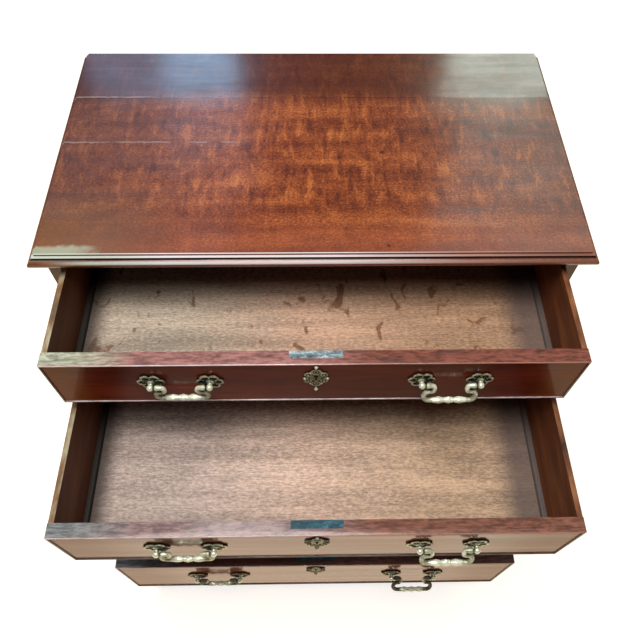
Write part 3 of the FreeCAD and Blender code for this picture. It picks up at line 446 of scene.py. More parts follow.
class Finish:
    """One material being made: adds shader nodes and joins their sockets."""

    def __init__(self, name):
        self.material = bpy.data.materials.new(name)
        self.material.use_nodes = True
        self.tree = self.material.node_tree
        self.shader = self.tree.nodes["Principled BSDF"]
        self.place = self.tree.nodes.new("ShaderNodeTexCoord").outputs["Object"]
        self.normal = self.tree.nodes.new("ShaderNodeNewGeometry").outputs["Normal"]
        self.width, self.depth, self.level = self.axes(self.place)

    def fill(self, node, inputs):
        """Set or join a node's inputs by name."""
        for key, value in inputs.items():
            if isinstance(value, bpy.types.NodeSocket):
                self.tree.links.new(value, node.inputs[key])
            else:
                node.inputs[key].default_value = value
        return node

    def add(self, kind, inputs, **settings):
        """A new node with its settings and inputs."""
        node = self.tree.nodes.new(kind)
        for key, value in settings.items():
            setattr(node, key, value)
        return self.fill(node, inputs)

    def stretched(self, scale, shift=(0, 0, 0)):
        """The piece's own coordinates, scaled along each axis."""
        inputs = {"Vector": self.place, "Scale": scale, "Location": shift}
        return self.add("ShaderNodeMapping", inputs).outputs[0]

    def noise(self, vector, detail=4.0, rough=0.55, distort=0.0):
        """Cloudy values about a half."""
        inputs = {"Vector": vector, "Scale": 1.0, "Detail": detail, "Roughness": rough, "Distortion": distort}
        return self.add("ShaderNodeTexNoise", inputs).outputs[0]

    def sums(self, way, first, second=0.5, third=0.5, clamp=False):
        """One step of arithmetic on up to three values."""
        inputs = {0: first, 1: second, 2: third}
        return self.add("ShaderNodeMath", inputs, operation=way, use_clamp=clamp).outputs[0]

    def both(self, first, second):
        """Where two masks overlap, or a share of one mask."""
        return self.sums("MULTIPLY", first, second)

    def total(self, *parts):
        """The sum of values, each times its share."""
        so_far = 0.0
        for value, share in parts:
            so_far = self.sums("MULTIPLY_ADD", value, share, so_far)
        return so_far

    def between(self, value, low, high):
        """A soft step from 0 at low to 1 at high."""
        inputs = {"Value": value, "From Min": low, "From Max": high}
        return self.add("ShaderNodeMapRange", inputs, interpolation_type="SMOOTHSTEP").outputs[0]

    def ramp(self, factor, stops):
        """Colours at places between 0 and 1."""
        node = self.add("ShaderNodeValToRGB", {"Fac": factor})
        while len(node.color_ramp.elements) < len(stops):
            node.color_ramp.elements.new(0.5)
        for element, (place, colour) in zip(node.color_ramp.elements, stops):
            element.position = place
            element.color = (*colour, 1)
        return node.outputs[0]

    def mix(self, mask, first, second, share=1):
        """The second colour over the first by a mask, or by a share of it."""
        factor = self.both(mask, share) if share < 1 else mask
        first, second = (tone if isinstance(tone, bpy.types.NodeSocket) else (*tone, 1)
                         for tone in (first, second))
        return self.add("ShaderNodeMix", {0: factor, 6: first, 7: second}, data_type="RGBA").outputs[2]

    def axes(self, vector):
        """The three coordinates of a vector."""
        return tuple(self.add("ShaderNodeSeparateXYZ", {"Vector": vector}).outputs)

    def line(self, value, place, half):
        """A thin soft line where a coordinate passes a place."""
        return self.between(self.sums("ABSOLUTE", self.sums("SUBTRACT", value, place)), half, 0.3 * half)

    def near(self, point, radius):
        """A soft round spot about a point."""
        gap = self.add("ShaderNodeVectorMath", {0: self.place, 1: point}, operation="DISTANCE")
        return self.between(gap.outputs["Value"], 1.3 * radius, 0.5 * radius)

    def facing_up(self, low=0.5, high=0.9):
        """One on faces that look upwards."""
        return self.between(self.axes(self.normal)[2], low, high)

    def scaled(self, colour, share):
        """A lighter or darker version of a colour."""
        return self.add("ShaderNodeVectorMath", {0: colour, "Scale": share}, operation="SCALE").outputs[0]

    def raised(self, height, depth, strength=1.0):
        """A bump from a height between 0 and 1."""
        inputs = {"Height": height, "Distance": depth, "Strength": strength}
        return self.add("ShaderNodeBump", inputs).outputs[0]

    def done(self, **inputs):
        """The material, with the shader's inputs set."""
        self.fill(self.shader, {key.replace("_", " "): value for key, value in inputs.items()})
        return self.material


def along_grain(along, lengthways, crossways):
    """A scale for each axis, finer across the grain than along it."""
    return tuple(lengthways if name == along else crossways for name in "XYZ")


def grain(finish, along, shift=(0, 0, 0)):
    """Broad figure and fine fibre, each a noise stretched along one axis."""
    broad = finish.stretched(along_grain(along, 2.6, 13), shift)
    figure = finish.noise(broad, detail=5, rough=0.6, distort=0.8)
    fine = finish.stretched(along_grain(along, 5, 330), shift)
    fibre = finish.noise(fine, detail=3, rough=0.65)
    return figure, fibre


def pores(finish, along, low, high):
    """A mask of short open pores along the grain."""
    flecks = finish.noise(finish.stretched(along_grain(along, 55, 1300)), detail=2, rough=0.5)
    return finish.between(flecks, low, high)


def top_figure(finish, mottle):
    """Red-brown and orange mottle with sparse ripple marks across the grain. Gives its fine fibre too."""
    figure, fibre = grain(finish, "X")
    speckle = finish.noise(finish.stretched((270, 340, 340)), detail=3, rough=0.65)
    bands = finish.noise(finish.stretched((2.5, 34, 34), (6, 2, 3)), detail=3, rough=0.6)
    ripple = finish.noise(finish.stretched((85, 21, 21)), detail=2, rough=0.5, distort=0.5)
    rippled = finish.between(finish.depth, 0.01, 0.09)
    pale_marks = finish.both(finish.between(ripple, 0.53, 0.70), rippled)
    dark_marks = finish.both(finish.between(ripple, 0.45, 0.32), rippled)
    tone = finish.total(
        (figure, 0.25), (mottle, 0.20), (speckle, 0.45), (bands, 0.24),
        (pale_marks, 0.075), (dark_marks, -0.055), (0.5, -0.14),
    )
    colour = finish.ramp(tone, [
        (0.39, (0.066, 0.012, 0.004)), (0.46, (0.148, 0.029, 0.008)),
        (0.53, (0.255, 0.057, 0.014)), (0.64, (0.490, 0.150, 0.036)),
    ])
    colour = finish.mix(finish.between(fibre, 0.50, 0.72), colour, (0.10, 0.020, 0.008), 0.20)
    return finish.mix(pores(finish, "X", 0.58, 0.72), colour, (0.05, 0.010, 0.004), 0.45), fibre


def top_shade_and_sheen(finish, colour):
    """Painted shade and sheen on the top: darker and greyer towards both ends, greyer on the right, and
    redder along the front.
    """
    # Painted shade and a painted sheen veil towards the left and right ends
    left_shade_and_sheen = finish.mix(0.45, finish.scaled(colour, 0.55), (0.090, 0.040, 0.028))
    right_shade_and_sheen = finish.mix(0.55, finish.scaled(colour, 0.75), (0.125, 0.096, 0.070))
    colour = finish.mix(finish.between(finish.width, -0.10, -0.38), colour, left_shade_and_sheen, 0.70)
    colour = finish.mix(finish.between(finish.width, 0.12, 0.40), colour, right_shade_and_sheen, 0.50)
    return finish.mix(finish.between(finish.depth, 0.05, -0.03), colour, (0.42, 0.125, 0.068), 0.25)


def rear_joint(finish, colour, mottle, joint):
    """A darker rear board, a broken glue line before it, a pale shrinkage crack and a painted highlight on a
    lip.
    """
    wavy = finish.total((finish.depth, 1.0), (mottle, 0.030), (0.5, -0.030))
    rear = finish.between(wavy, joint - 0.030, joint + 0.022)
    colour = finish.mix(rear, colour, (0.050, 0.007, 0.001), 0.74)
    broken = finish.between(finish.noise(finish.stretched((30, 1, 1))), 0.38, 0.56)
    glue_line = finish.both(finish.line(finish.depth, joint, 0.0016), broken)
    colour = finish.mix(glue_line, colour, (0.020, 0.006, 0.003), 0.7)
    bent = finish.total((finish.depth, 1.0), (mottle, 0.007), (0.5, -0.007))
    crack = finish.both(finish.line(bent, CRACK_DEPTH, 0.0022), finish.between(finish.width, -0.10, -0.15))
    # The pale line along the lip is a painted highlight
    lip = finish.both(finish.line(bent, joint + 0.0026, 0.0024), finish.between(finish.width, -0.24, -0.31))
    crack_and_lip_highlight = finish.both(finish.sums("MAXIMUM", crack, lip), broken)
    return finish.mix(crack_and_lip_highlight, colour, (0.50, 0.38, 0.34), 0.36)


def top_wear_and_sheen(finish, colour, mottle, top):
    """A painted sheen over the front left, a bleached patch at the front left corner, and dark spots."""
    # Painted sheen: a pale veil over the front left of the top
    sheen_veil = finish.both(finish.between(finish.width, -0.16, -0.36), finish.between(finish.depth, 0.12, -0.02))
    colour = finish.mix(sheen_veil, colour, (0.20, 0.13, 0.05), 0.30)
    left_end = finish.between(finish.total((finish.width, 1.0), (mottle, 0.08)), -0.260, -0.310)
    front_strip = finish.between(finish.total((finish.depth, 1.0), (mottle, 0.012)), -0.013, -0.020)
    corner = finish.both(finish.both(left_end, front_strip), finish.facing_up(0.9, 0.98))
    colour = finish.mix(corner, colour, (0.42, 0.46, 0.34), 0.7)
    for x, y, radius in DARK_SPOTS:
        spot = finish.near((x, y, top), radius)
        colour = finish.mix(spot, colour, (0.03, 0.010, 0.006), 0.8)
    return colour


def polished_top(name, lean):
    """The top's mahogany, glossy in smears and clouds. A cupped board shines as if it leaned back."""
    finish = Finish(name)
    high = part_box("top_front_board")[1]
    mottle = finish.noise(finish.stretched((45, 36, 36)), detail=4, rough=0.6, distort=0.6)
    colour, fibre = top_figure(finish, mottle)
    colour = top_shade_and_sheen(finish, colour)
    colour = rear_joint(finish, colour, mottle, high[1])
    colour = top_wear_and_sheen(finish, colour, mottle, high[2])
    colour = moulded_edge(finish, colour, high[2])
    tilted = {0: finish.normal, 1: (0, lean, 0)}
    leaning = finish.add("ShaderNodeVectorMath", tilted, operation="ADD").outputs[0]
    smears = finish.noise(finish.stretched((6, 60, 60), (1, 3, 2)), detail=4, rough=0.6)
    clouds = finish.noise(finish.stretched((9, 16, 16), (7, 1, 5)), detail=3, rough=0.6)
    return finish.done(
        Base_Color=colour, Roughness=0.45, Normal=finish.raised(fibre, 0.00010, 0.25), Coat_Normal=leaning,
        Coat_Weight=finish.total((smears, 0.9), (clouds, 1.2), (-0.15, 1.0)), Coat_Roughness=0.15,
        Specular_IOR_Level=0.12,
    )


def moulded_edge(finish, colour, top):
    """The front edge of the top: painted shade in the quirk, and painted highlights as pale lines on the
    arris, the step and the nose, white over the left half and browner towards the right end."""
    step, quirk_foot = top - STEP_DROP, top - STEP_DROP - QUIRK_TALL
    quirk = finish.both(
        finish.between(finish.level, quirk_foot - 0.0006, quirk_foot),
        finish.between(finish.level, step - 0.0002, step - 0.0006),
    )
    # Painted shade in the quirk
    colour = finish.mix(quirk, colour, (0.012, 0.004, 0.003), 0.9)
    arris = finish.both(finish.line(finish.depth, FRONT_ARRIS + 0.0011, 0.0013), finish.facing_up(0.9, 0.98))
    step_face = finish.both(finish.line(finish.level, step, 0.0006), finish.facing_up(0.4, 0.8))
    nose = finish.both(finish.facing_up(0.25, 0.50), finish.facing_up(0.93, 0.78))
    nose = finish.both(nose, finish.between(finish.level, quirk_foot, quirk_foot - 0.0004))
    nose = finish.both(nose, finish.between(finish.width, -0.40, -0.31))
    lines = finish.sums("MAXIMUM", finish.sums("MAXIMUM", arris, step_face), nose)
    front = finish.between(finish.depth, FRONT_ARRIS + 0.0026, FRONT_ARRIS + 0.0022)
    # The pale lines are painted highlights, whiter where they stand for the windows' reflection on the left
    pale = finish.ramp(finish.between(finish.width, -0.41, 0.41), [
        (0.05, (0.62, 0.70, 0.64)), (0.14, (0.85, 0.88, 0.95)), (0.55, (0.82, 0.80, 0.84)),
        (0.85, (0.48, 0.29, 0.25)), (1.0, (0.22, 0.11, 0.085)),
    ])
    return finish.mix(finish.both(lines, front), colour, pale, 0.8)


def polished_front(name, edge, gloss, end_gloss, end_reflection_tone, end_start):
    """A drawer front: dark straight-grained mahogany, polished in streaks on its face, with a painted
    reflection that turns it golden towards its ends, where it is duller, and a rubbed top edge that has lost
    its colour."""
    finish = Finish(name)
    figure, fibre = grain(finish, "X", (3, 1, 7))
    colour = finish.ramp(figure, [
        (0.30, (0.098, 0.012, 0.004)), (0.50, (0.215, 0.026, 0.008)), (0.70, (0.340, 0.056, 0.016)),
    ])
    colour = finish.mix(finish.between(fibre, 0.48, 0.70), colour, (0.042, 0.008, 0.004), 0.6)
    from_middle = finish.sums("ABSOLUTE", finish.width)
    # Painted reflection: the ends turn golden, standing in for the bright floor reflected there
    ends = finish.between(from_middle, end_start, FULL_END)
    colour = finish.mix(ends, colour, end_reflection_tone, 0.5)
    colour = finish.mix(finish.facing_up(), colour, rubbed_edge(finish, edge))
    streaks = finish.noise(finish.stretched((1.6, 55, 55), (4, 4, 4)), detail=4, rough=0.6)
    evenly = finish.total((ends, end_gloss - gloss), (1.0, gloss))
    shine = finish.both(finish.total((streaks, 1.0), (0.50, 1.0)), evenly)
    return finish.done(
        Base_Color=colour, Roughness=0.45, Normal=finish.raised(fibre, 0.00010, 0.25),
        Coat_Weight=shine, Coat_Roughness=0.10, Coat_IOR=1.3, Specular_IOR_Level=0.05,
    )


def rubbed_edge(finish, tones):
    """Polish rubbed off a top edge: three tones along it, mottled, with ink-like stains and open pores."""
    left, middle, right = tones
    along = finish.between(finish.width, -EDGE_HALF, EDGE_HALF)
    tone = finish.ramp(along, [(0.008, left), (0.080, middle), (0.45, middle), (0.66, right)])
    blotch = finish.noise(finish.stretched((55, 240, 240)), detail=5, rough=0.7)
    worn = finish.between(blotch, 0.36, 0.64)
    rubbed = finish.mix(worn, finish.scaled(tone, 0.58), finish.scaled(tone, 1.32))
    stains = finish.noise(finish.stretched((19, 50, 50), (2, 5, 1)), detail=3, rough=0.6, distort=0.5)
    rubbed = finish.mix(finish.between(stains, 0.58, 0.66), rubbed, (0.055, 0.035, 0.040), 0.45)
    return finish.mix(pores(finish, "X", 0.52, 0.70), rubbed, finish.scaled(tone, 0.4), 0.35)


def bead_polish(name, edge, top, low_highlight):
    """Dark polished bead mouldings. The top one's nose has a pale rose painted highlight, red over its right
    half, and its upper side is worn as the edge behind it. The others' noses have a pale painted highlight,
    by their own amount."""
    finish = Finish(name)
    worn = finish.noise(finish.stretched((26, 26, 26)), detail=4, rough=0.65)
    colour = finish.ramp(worn, [(0.40, (0.020, 0.006, 0.004)), (0.60, (0.055, 0.017, 0.010))])
    upper = finish.between(finish.level, top - 0.0060, top - 0.0040)
    # The share of the painted highlight on the noses: full on the top bead, the given amount on the others
    wear = finish.total((upper, FULL_HIGHLIGHT - low_highlight), (low_highlight, 1.0))
    nose = finish.both(finish.facing_up(0.0, 0.25), wear)
    top_nose_highlight = finish.ramp(worn, [(0.38, (0.72, 0.46, 0.46)), (0.58, (0.98, 0.76, 0.78))])
    right = finish.between(finish.width, -0.04, 0.10)
    top_nose_highlight = finish.mix(right, top_nose_highlight, (0.50, 0.205, 0.150))
    pale = finish.ramp(worn, [(0.38, (0.52, 0.37, 0.35)), (0.58, (0.85, 0.78, 0.79))])
    colour = finish.mix(nose, colour, finish.mix(upper, pale, top_nose_highlight))
    behind = finish.both(finish.facing_up(0.975, 0.995), upper)
    colour = finish.mix(behind, colour, rubbed_edge(finish, edge))
    return finish.done(
        Base_Color=colour, Roughness=0.40, Coat_Weight=0.4, Coat_Roughness=0.12, Specular_IOR_Level=0.2,
    )


def carcase_polish(name, along, gloss):
    """Polished mahogany for the sides, rails, moulding and feet."""
    finish = Finish(name)
    figure, fibre = grain(finish, along, (5, 2, 1))
    colour = finish.ramp(figure, [
        (0.30, (0.065, 0.016, 0.006)), (0.50, (0.150, 0.040, 0.014)), (0.70, (0.260, 0.080, 0.026)),
    ])
    colour = finish.mix(finish.between(fibre, 0.50, 0.72), colour, (0.055, 0.013, 0.006), 0.55)
    colour = finish.mix(pores(finish, along, 0.60, 0.74), colour, (0.03, 0.008, 0.004), 0.5)
    return finish.done(
        Base_Color=colour, Roughness=0.42, Normal=finish.raised(fibre, 0.00010, 0.3),
        Coat_Weight=gloss, Coat_Roughness=0.10, Specular_IOR_Level=0.2,
    )


def drawer_lining():
    """The drawers' sides and backs: old wood gone very dark, made lighter and redder on the right as painted
    light, with rubbed top edges that are pale on the left and brown on the right."""
    finish = Finish("drawer_lining")
    figure, fibre = grain(finish, "Y", (2, 9, 4))
    right = finish.between(finish.width, -0.1, 0.1)
    colour = finish.ramp(figure, [
        (0.30, (0.058, 0.016, 0.005)), (0.52, (0.112, 0.034, 0.011)), (0.72, (0.190, 0.068, 0.024)),
    ])
    # Painted light: the right-hand parts are lighter and redder
    colour = finish.mix(right, colour, finish.scaled(colour, 1.6))
    colour = finish.mix(finish.between(fibre, 0.5, 0.72), colour, (0.030, 0.010, 0.005), 0.6)
    rubbing = finish.noise(finish.stretched((40, 14, 40)))
    pale = finish.ramp(rubbing, [
        (0.36, (0.08, 0.08, 0.055)), (0.47, (0.24, 0.13, 0.060)), (0.62, (0.42, 0.37, 0.25)),
    ])
    brown = finish.ramp(rubbing, [
        (0.38, (0.05, 0.021, 0.013)), (0.54, (0.20, 0.072, 0.030)), (0.70, (0.31, 0.14, 0.06)),
    ])
    colour = finish.mix(finish.facing_up(), colour, finish.mix(right, pale, brown))
    return finish.done(
        Base_Color=colour, Roughness=0.60, Normal=finish.raised(fibre, 0.00015, 0.5), Specular_IOR_Level=0.25,
    )


def drawer_floor(name, tones, stained):
    """A drawer bottom: bare wood in three tones from left to right, with fine flecks across the drawer,
    painted shade by the sides, darker at the front of a drawer pulled far out, and with old stains if
    stained."""
    finish = Finish(name)
    figure, fibre = grain(finish, "X", (8, 3, 2))
    middle = finish.ramp(finish.between(finish.width, -0.36, 0.36), list(zip((0.10, 0.45, 0.88), tones)))
    bands = finish.noise(finish.stretched((3, 42, 42), (2, 7, 1)), detail=4, rough=0.65)
    flecks = finish.noise(finish.stretched((150, 380, 380)), detail=4, rough=0.7)
    tone = finish.total((figure, 0.26), (bands, 0.24), (flecks, 0.50))
    pale, dark = finish.scaled(middle, 1.55), finish.scaled(middle, 0.48)
    colour = finish.mix(finish.between(tone, 0.36, 0.66), dark, pale)
    colour = finish.mix(finish.between(fibre, 0.46, 0.66), colour, dark, 0.25)
    colour = finish.mix(pores(finish, "X", 0.52, 0.68), colour, finish.scaled(middle, 0.35), 0.5)
    # Darker towards the front of the floor
    darker_front = finish.between(finish.depth, -0.26, -0.35)
    colour = finish.mix(darker_front, finish.scaled(colour, 1.10), finish.scaled(colour, 0.88))
    if stained:
        colour = old_stains(finish, colour, flecks)
    # Painted shade along the sides and the slips
    for start, full, share, side_shade in SIDE_SHADE:
        colour = finish.mix(finish.between(finish.width, start, full), colour, side_shade, share)
    return finish.done(
        Base_Color=colour, Roughness=0.60, Normal=finish.raised(flecks, 0.00020, 0.5), Specular_IOR_Level=0.3,
    )


def old_stains(finish, colour, flecks):
    """A paler front left part, and soft brown stains that took less on the pale flecks."""
    front = finish.between(finish.depth, -0.105, -0.150)
    left = finish.between(finish.width, 0.25, -0.05)
    colour = finish.mix(finish.both(front, left), colour, finish.scaled(colour, 1.38))
    blot = finish.noise(finish.stretched((40, 25, 25), (0.4, 0.2, 0)), detail=2, rough=0.45, distort=1.0)
    soaked = finish.both(finish.between(blot, 0.61, 0.70), finish.total((flecks, -0.8), (1.22, 1.0)))
    return finish.mix(soaked, colour, (0.165, 0.066, 0.028))


def hidden_pine(name, along):
    """The unpolished wood of the back, dust boards, runners and blocks."""
    finish = Finish(name)
    figure, fibre = grain(finish, along, (1, 4, 6))
    colour = finish.ramp(figure, [
        (0.30, (0.16, 0.090, 0.047)), (0.52, (0.28, 0.165, 0.090)), (0.72, (0.38, 0.24, 0.14)),
    ])
    colour = finish.mix(finish.between(fibre, 0.5, 0.7), colour, (0.11, 0.06, 0.032), 0.6)
    return finish.done(Base_Color=colour, Roughness=0.75, Normal=finish.raised(fibre, 0.0002, 0.6))


def aged_brass(name, dullness, neck_dullness=0):
    """Pale yellow cast brass, rubbed bright where it stands out and green-black in its recesses.
    Dullness moves the tarnish outwards from the recesses. A bail's necks have more of it than its grip."""
    finish = Finish(name)
    hollow = finish.add("ShaderNodeAmbientOcclusion", {"Distance": 0.007}, samples=8).outputs["AO"]
    tarnish = finish.noise(finish.stretched((190, 190, 190)), detail=4, rough=0.6)
    open_face = finish.sums("SUBTRACT", finish.total((hollow, 1.0), (tarnish, 0.5)), dullness)
    if neck_dullness:
        sideways = finish.sums("ABSOLUTE", finish.width)
        from_grip = finish.sums("ABSOLUTE", finish.sums("SUBTRACT", sideways, HANDLE_PLACE))
        necks = finish.between(from_grip, *NECKS)
        open_face = finish.total((open_face, 1.0), (necks, -neck_dullness))
    colour = finish.ramp(open_face, [
        (0.48, (0.010, 0.019, 0.021)), (0.72, (0.26, 0.262, 0.155)), (0.96, (0.93, 1.00, 0.79)),
    ])
    inputs = {"Value": open_face, "From Min": 0.5, "From Max": 1.0, "To Min": 0.50, "To Max": 0.32}
    rough = finish.add("ShaderNodeMapRange", inputs).outputs[0]
    pits = finish.noise(finish.stretched((900, 900, 900)), detail=2)
    return finish.done(
        Base_Color=colour, Metallic=BAIL_METAL if neck_dullness else CAST_METAL, Roughness=rough,
        Normal=finish.raised(pits, 0.0002, 0.2),
    )


def lock_steel(name, tones):
    """Dull blue-grey steel with dark pitting and brighter rubbed streaks."""
    finish = Finish(name)
    mottle = finish.noise(finish.stretched((80, 150, 150)), detail=4, rough=0.7, distort=0.6)
    colour = finish.ramp(mottle, list(zip((0.36, 0.52, 0.66), tones)))
    return finish.done(
        Base_Color=colour, Metallic=0.3, Roughness=0.45, Normal=finish.raised(mottle, 0.0003, 0.4),
        Specular_IOR_Level=0.2,
    )


# Dressing the solids and adding the castings

def dress(material, *names):
    """Give the named solids a material."""
    for name in names:
        mesh = frame["nodes"][name].data
        mesh.materials.clear()
        mesh.materials.append(material)


def edge_of(number):
    """The tones of a drawer's rubbed top edge, with painted shade on the drawers below the second."""
    return {1: RED_EDGE, 2: PINK_EDGE}.get(number, SHADED_EDGE)


def dress_chest():
    """A material for every solid that shows as it is."""
    dress(polished_top("polished_front_board", lean=0.0), "top_front_board")
    dress(polished_top("polished_rear_board", lean=0.03), "top_rear_board")
    dress(carcase_polish("upright_mahogany", "Z", gloss=0.3), "left_side", "right_side")
    level = carcase_polish("level_mahogany", "X", gloss=0.6)
    dress(level, "top_rail", "drawer_dividers", "base_moulding", "front_feet", "rear_feet")
    dress(hidden_pine("level_pine", "X"), "back_boards", "dust_boards", "bottom_board", "drawer_stops")
    dress(hidden_pine("lengthways_pine", "Y"), "drawer_runners", "drawer_kickers", "foot_blocks")
    bright, blue = lock_steel("bright_steel", BRIGHT_STEEL), lock_steel("blue_steel", BLUE_STEEL)
    stained = drawer_floor("stained_floor", STAINED_TONES, stained=True)
    plain = drawer_floor("plain_floor", PLAIN_TONES, stained=False)
    lining = drawer_lining()
    for number in DRAWERS:
        drawer = f"drawer_{number}"
        wear = FIRST_POLISH if number == 1 else LOWER_POLISH
        dress(polished_front(f"{drawer}_polish", edge_of(number), *wear), f"{drawer}_front")
        dress(lining, f"{drawer}_sides", f"{drawer}_back")
        dress(stained if number == 1 else plain, f"{drawer}_bottom")
        dress(bright if number == 1 else blue, f"{drawer}_lock_case", f"{drawer}_lock_bolt")


def stand_for(made, node, body):
    """A new piece that rides on a body in place of a solid."""
    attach(made, body)
    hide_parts(node)


def hang_bails(drawer, swan, brass):
    """A drawer's two bails, swung as their solids are. Gives the places of the four posts' feet."""
    feet = []
    for side in ("left", "right"):
        hinge = HINGES[f"{drawer}_{side}_bail"]
        pivot = np.array(hinge["pos_m"])
        feet += [pivot + (end * POST_SPREAD / 2, PIVOT_OUT, 0) for end in (-1, 1)]
        swing = math.radians(-BAIL_FREE_SWING - hinge["range_deg"][0])
        turn = np.array(Matrix.Rotation(-swing, 3, "X"))
        hung = [moved((points @ turn.T, faces), pivot) for points, faces in swan]
        made = piece(f"{drawer}_{side}_swan_bail", [(brass, hung)])
        stand_for(made, f"{drawer}_{side}_bail", f"{drawer}_{side}_bail")
    return feet


def plate_middle(drawer):
    """The middle of a drawer's escutcheon, on the drawer's face."""
    plate_low, plate_high = (np.array(corner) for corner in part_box(f"{drawer}_escutcheon"))
    return 0, plate_high[1], (plate_low[2] + plate_high[2]) / 2


def add_castings(drawer, name, solid, dressed, places):
    """Castings on a drawer in place of a solid: the surfaces of each material at every place."""
    groups = [(material, [moved(shape, place) for place in places for shape in shapes])
              for material, shapes in dressed]
    made = piece(f"{drawer}_{name}", groups)
    stand_for(made, f"{drawer}_{solid}", drawer)


def add_beads(drawer, edge, low_highlight):
    """A drawer's bead mouldings, round the edges of its front."""
    low, high = (np.array(corner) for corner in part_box(f"{drawer}_front"))
    polish = bead_polish(f"{drawer}_bead_polish", edge, high[2], low_highlight)
    made = piece(f"{drawer}_bead_frame", [(polish, [bead_frame(low, high)])], crease=50)
    stand_for(made, f"{drawer}_cockbeads", drawer)


def add_fittings():
    """Bails, posts, rosettes, nuts, escutcheons and beads on every drawer."""
    # Painted light in the brass: the first drawer's grips are brightened as if lit from above, those of the
    # second
    # The posts, and the first drawer's escutcheon tips, use the bright brass for their painted highlights.
    # and third are dimmer, and the fourth drawer's brass is painted shade.
    grip = aged_brass("grip_brass", dullness=-0.10, neck_dullness=0.52)
    dimmer_grip = aged_brass("dimmer_grip_brass", dullness=0.24, neck_dullness=0.20)
    shaded_grip = aged_brass("shaded_grip_brass", dullness=0.30, neck_dullness=0.36)
    grips = {1: grip, 4: shaded_grip}
    bright, rubbed = aged_brass("bright_brass", dullness=0.24), aged_brass("rubbed_brass", dullness=0.42)
    shaded, dull = aged_brass("shaded_brass", dullness=0.50), aged_brass("dull_brass", dullness=0.58)
    post, raised, sunk = handle_post(), [rosette_rim(), *rosette_beads()], [*rosette_ground(), square_nut()]
    shield, bars, tips, swan = keyhole_shield(), pierced_plate(), plate_tips(), bail()
    for number in DRAWERS:
        drawer = f"drawer_{number}"
        rim_brass = shaded if number == 4 else rubbed
        tip_brass, bar_brass = (bright, rubbed) if number == 1 else (rim_brass, dull)
        feet = hang_bails(drawer, swan, grips.get(number, dimmer_grip))
        rosettes = [(bright, [post]), (rim_brass, raised), (dull, sunk)]
        add_castings(drawer, "rosettes", "handle_posts", rosettes, feet)
        plate = [(tip_brass, tips), (bar_brass, bars), (dull, [shield])]
        add_castings(drawer, "pierced_plate", "escutcheon", plate, [plate_middle(drawer)])
        add_beads(drawer, edge_of(number), FULL_HIGHLIGHT if number == 1 else SLIGHT_HIGHLIGHT)


# Stage, light and camera

FLOOR_REACH = 6.0
# How strongly the floor shines to the camera and in the polish
FLOOR_SEEN = 0.76
FLOOR_MIRRORED = 0.85
# The power that gives an area light of one square metre a brightness of one
LIGHT_POWER = 4
# Lights behind the chest: name, place across and up, size, and brightness in red, green and blue
BACKDROP_DISTANCE = 3.0
BACKDROP = (
    ("left_window", -0.68, 2.05, (0.46, 2.04), (1.9, 3.4, 5.0)),
    ("left_blind", -0.76, 3.55, (0.62, 0.9), (0.50, 0.70, 0.95)),
    ("left_curtain", -1.16, 2.05, (0.50, 2.04), (0.75, 1.15, 1.75)),
    ("right_window", 1.25, 2.05, (0.76, 2.04), (4.0, 4.8, 4.2)),
    ("left_wall", -1.5, 4.1, (1.6, 1.9), (0.35, 0.40, 0.50)),
    ("right_wall", 1.9, 4.1, (1.7, 1.9), (0.75, 1.15, 1.2)),
)
ROOM_COLOUR = (0.90, 0.95, 1.0, 1)
ROOM_STRENGTH = 0.04
# Where the camera stands, how it is turned in degrees, and its lens and sensor in millimetres
CAMERA_PLACE = (-0.00857, -0.60184, 1.58983)
CAMERA_HEADING = -1.756
CAMERA_TILT = 31.7725
CAMERA_ROLL = 1.094
CAMERA_LENS = 36.2124
CAMERA_SENSOR = 36


def pale_floor():
    """A wide pale floor that shows white to the camera, warm in the polish, and keeps a soft shadow."""
    mesh = bpy.data.meshes.new("pale_floor")
    corners = [(x * FLOOR_REACH, y * FLOOR_REACH, 0) for x, y in ((-1, -1), (1, -1), (1, 1), (-1, 1))]
    mesh.from_pydata(corners, [], [(0, 1, 2, 3)])
    finish = Finish("pale_floor")
    path = finish.tree.nodes.new("ShaderNodeLightPath").outputs
    mirrored = finish.sums("ADD", path["Is Glossy Ray"], path["Is Transmission Ray"], clamp=True)
    mesh.materials.append(finish.done(
        Base_Color=(0.82, 0.67, 0.49, 1), Roughness=0.9, Specular_IOR_Level=0.1,
        Emission_Color=finish.mix(path["Is Camera Ray"], (1.0, 0.80, 0.58), (1, 1, 1)),
        Emission_Strength=finish.total((path["Is Camera Ray"], FLOOR_SEEN), (mirrored, FLOOR_MIRRORED)),
    ))
    floor = bpy.data.objects.new("pale_floor", mesh)
    bpy.context.scene.collection.objects.link(floor)


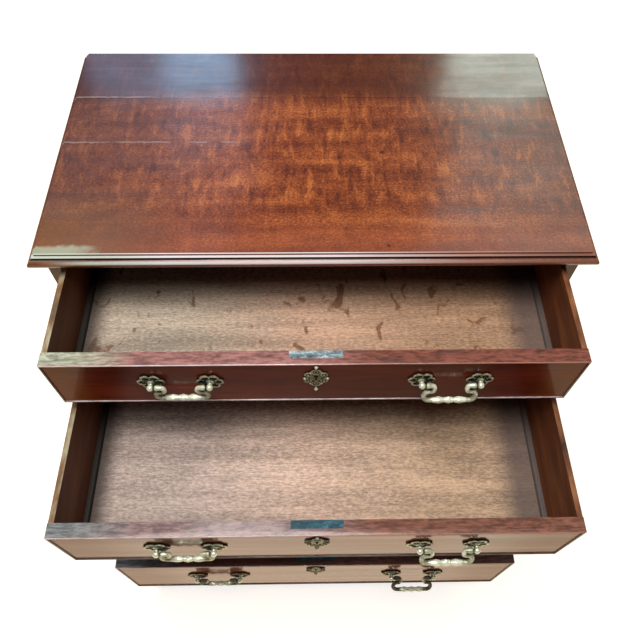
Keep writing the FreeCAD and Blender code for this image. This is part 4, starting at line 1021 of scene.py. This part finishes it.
def soft_light(name, place, aim, size, radiance):
    """A rectangular soft light of a given brightness and colour, turned towards a point."""
    data = bpy.data.lights.new(name, "AREA")
    data.shape = "RECTANGLE"
    data.size, data.size_y = size
    strongest = max(radiance)
    data.energy = strongest * LIGHT_POWER * size[0] * size[1]
    data.color = [value / strongest for value in radiance]
    lamp = bpy.data.objects.new(name, data)
    away = np.array(place, float) - np.array(aim, float)
    across = np.cross((0, 0, 1), away)
    across /= np.linalg.norm(across)
    away /= np.linalg.norm(away)
    turned = Matrix(np.stack([across, np.cross(away, across), away], axis=1).tolist()).to_4x4()
    lamp.matrix_world = Matrix.Translation(place) @ turned
    bpy.context.scene.collection.objects.link(lamp)


def light_the_chest():
    """A soft light overhead, and behind the chest a window on each side, with a blind and a curtain by the
    left one, that show in the rear board's polish, and dim walls that veil the ends of the front board."""
    soft_light("overhead", (-0.18, -0.40, 3.15), (0, -0.15, 0.6), (1.5, 1.1), (10.9, 10.4, 9.8))
    for name, across, level, size, radiance in BACKDROP:
        soft_light(name, (across, BACKDROP_DISTANCE, level), (across, 0, level), size, radiance)
    world = bpy.data.worlds.new("soft_room")
    world.use_nodes = True
    room = world.node_tree.nodes["Background"]
    room.inputs["Color"].default_value = ROOM_COLOUR
    room.inputs["Strength"].default_value = ROOM_STRENGTH
    bpy.context.scene.world = world


def look_down():
    """The camera above and in front of the chest, turned by heading, tilt from straight down, and roll."""
    data = bpy.data.cameras.new("camera")
    data.sensor_width = CAMERA_SENSOR
    data.lens = CAMERA_LENS
    camera = bpy.data.objects.new("camera", data)
    turns = [Matrix.Rotation(math.radians(angle), 4, axis) for angle, axis in
             ((CAMERA_HEADING, "Z"), (CAMERA_TILT, "X"), (CAMERA_ROLL, "Z"))]
    camera.matrix_world = Matrix.Translation(CAMERA_PLACE) @ turns[0] @ turns[1] @ turns[2]
    bpy.context.scene.collection.objects.link(camera)
    bpy.context.scene.camera = camera


dress_chest()
add_fittings()
pale_floor()
light_the_chest()
look_down()
bpy.context.scene.view_settings.view_transform = "Standard"
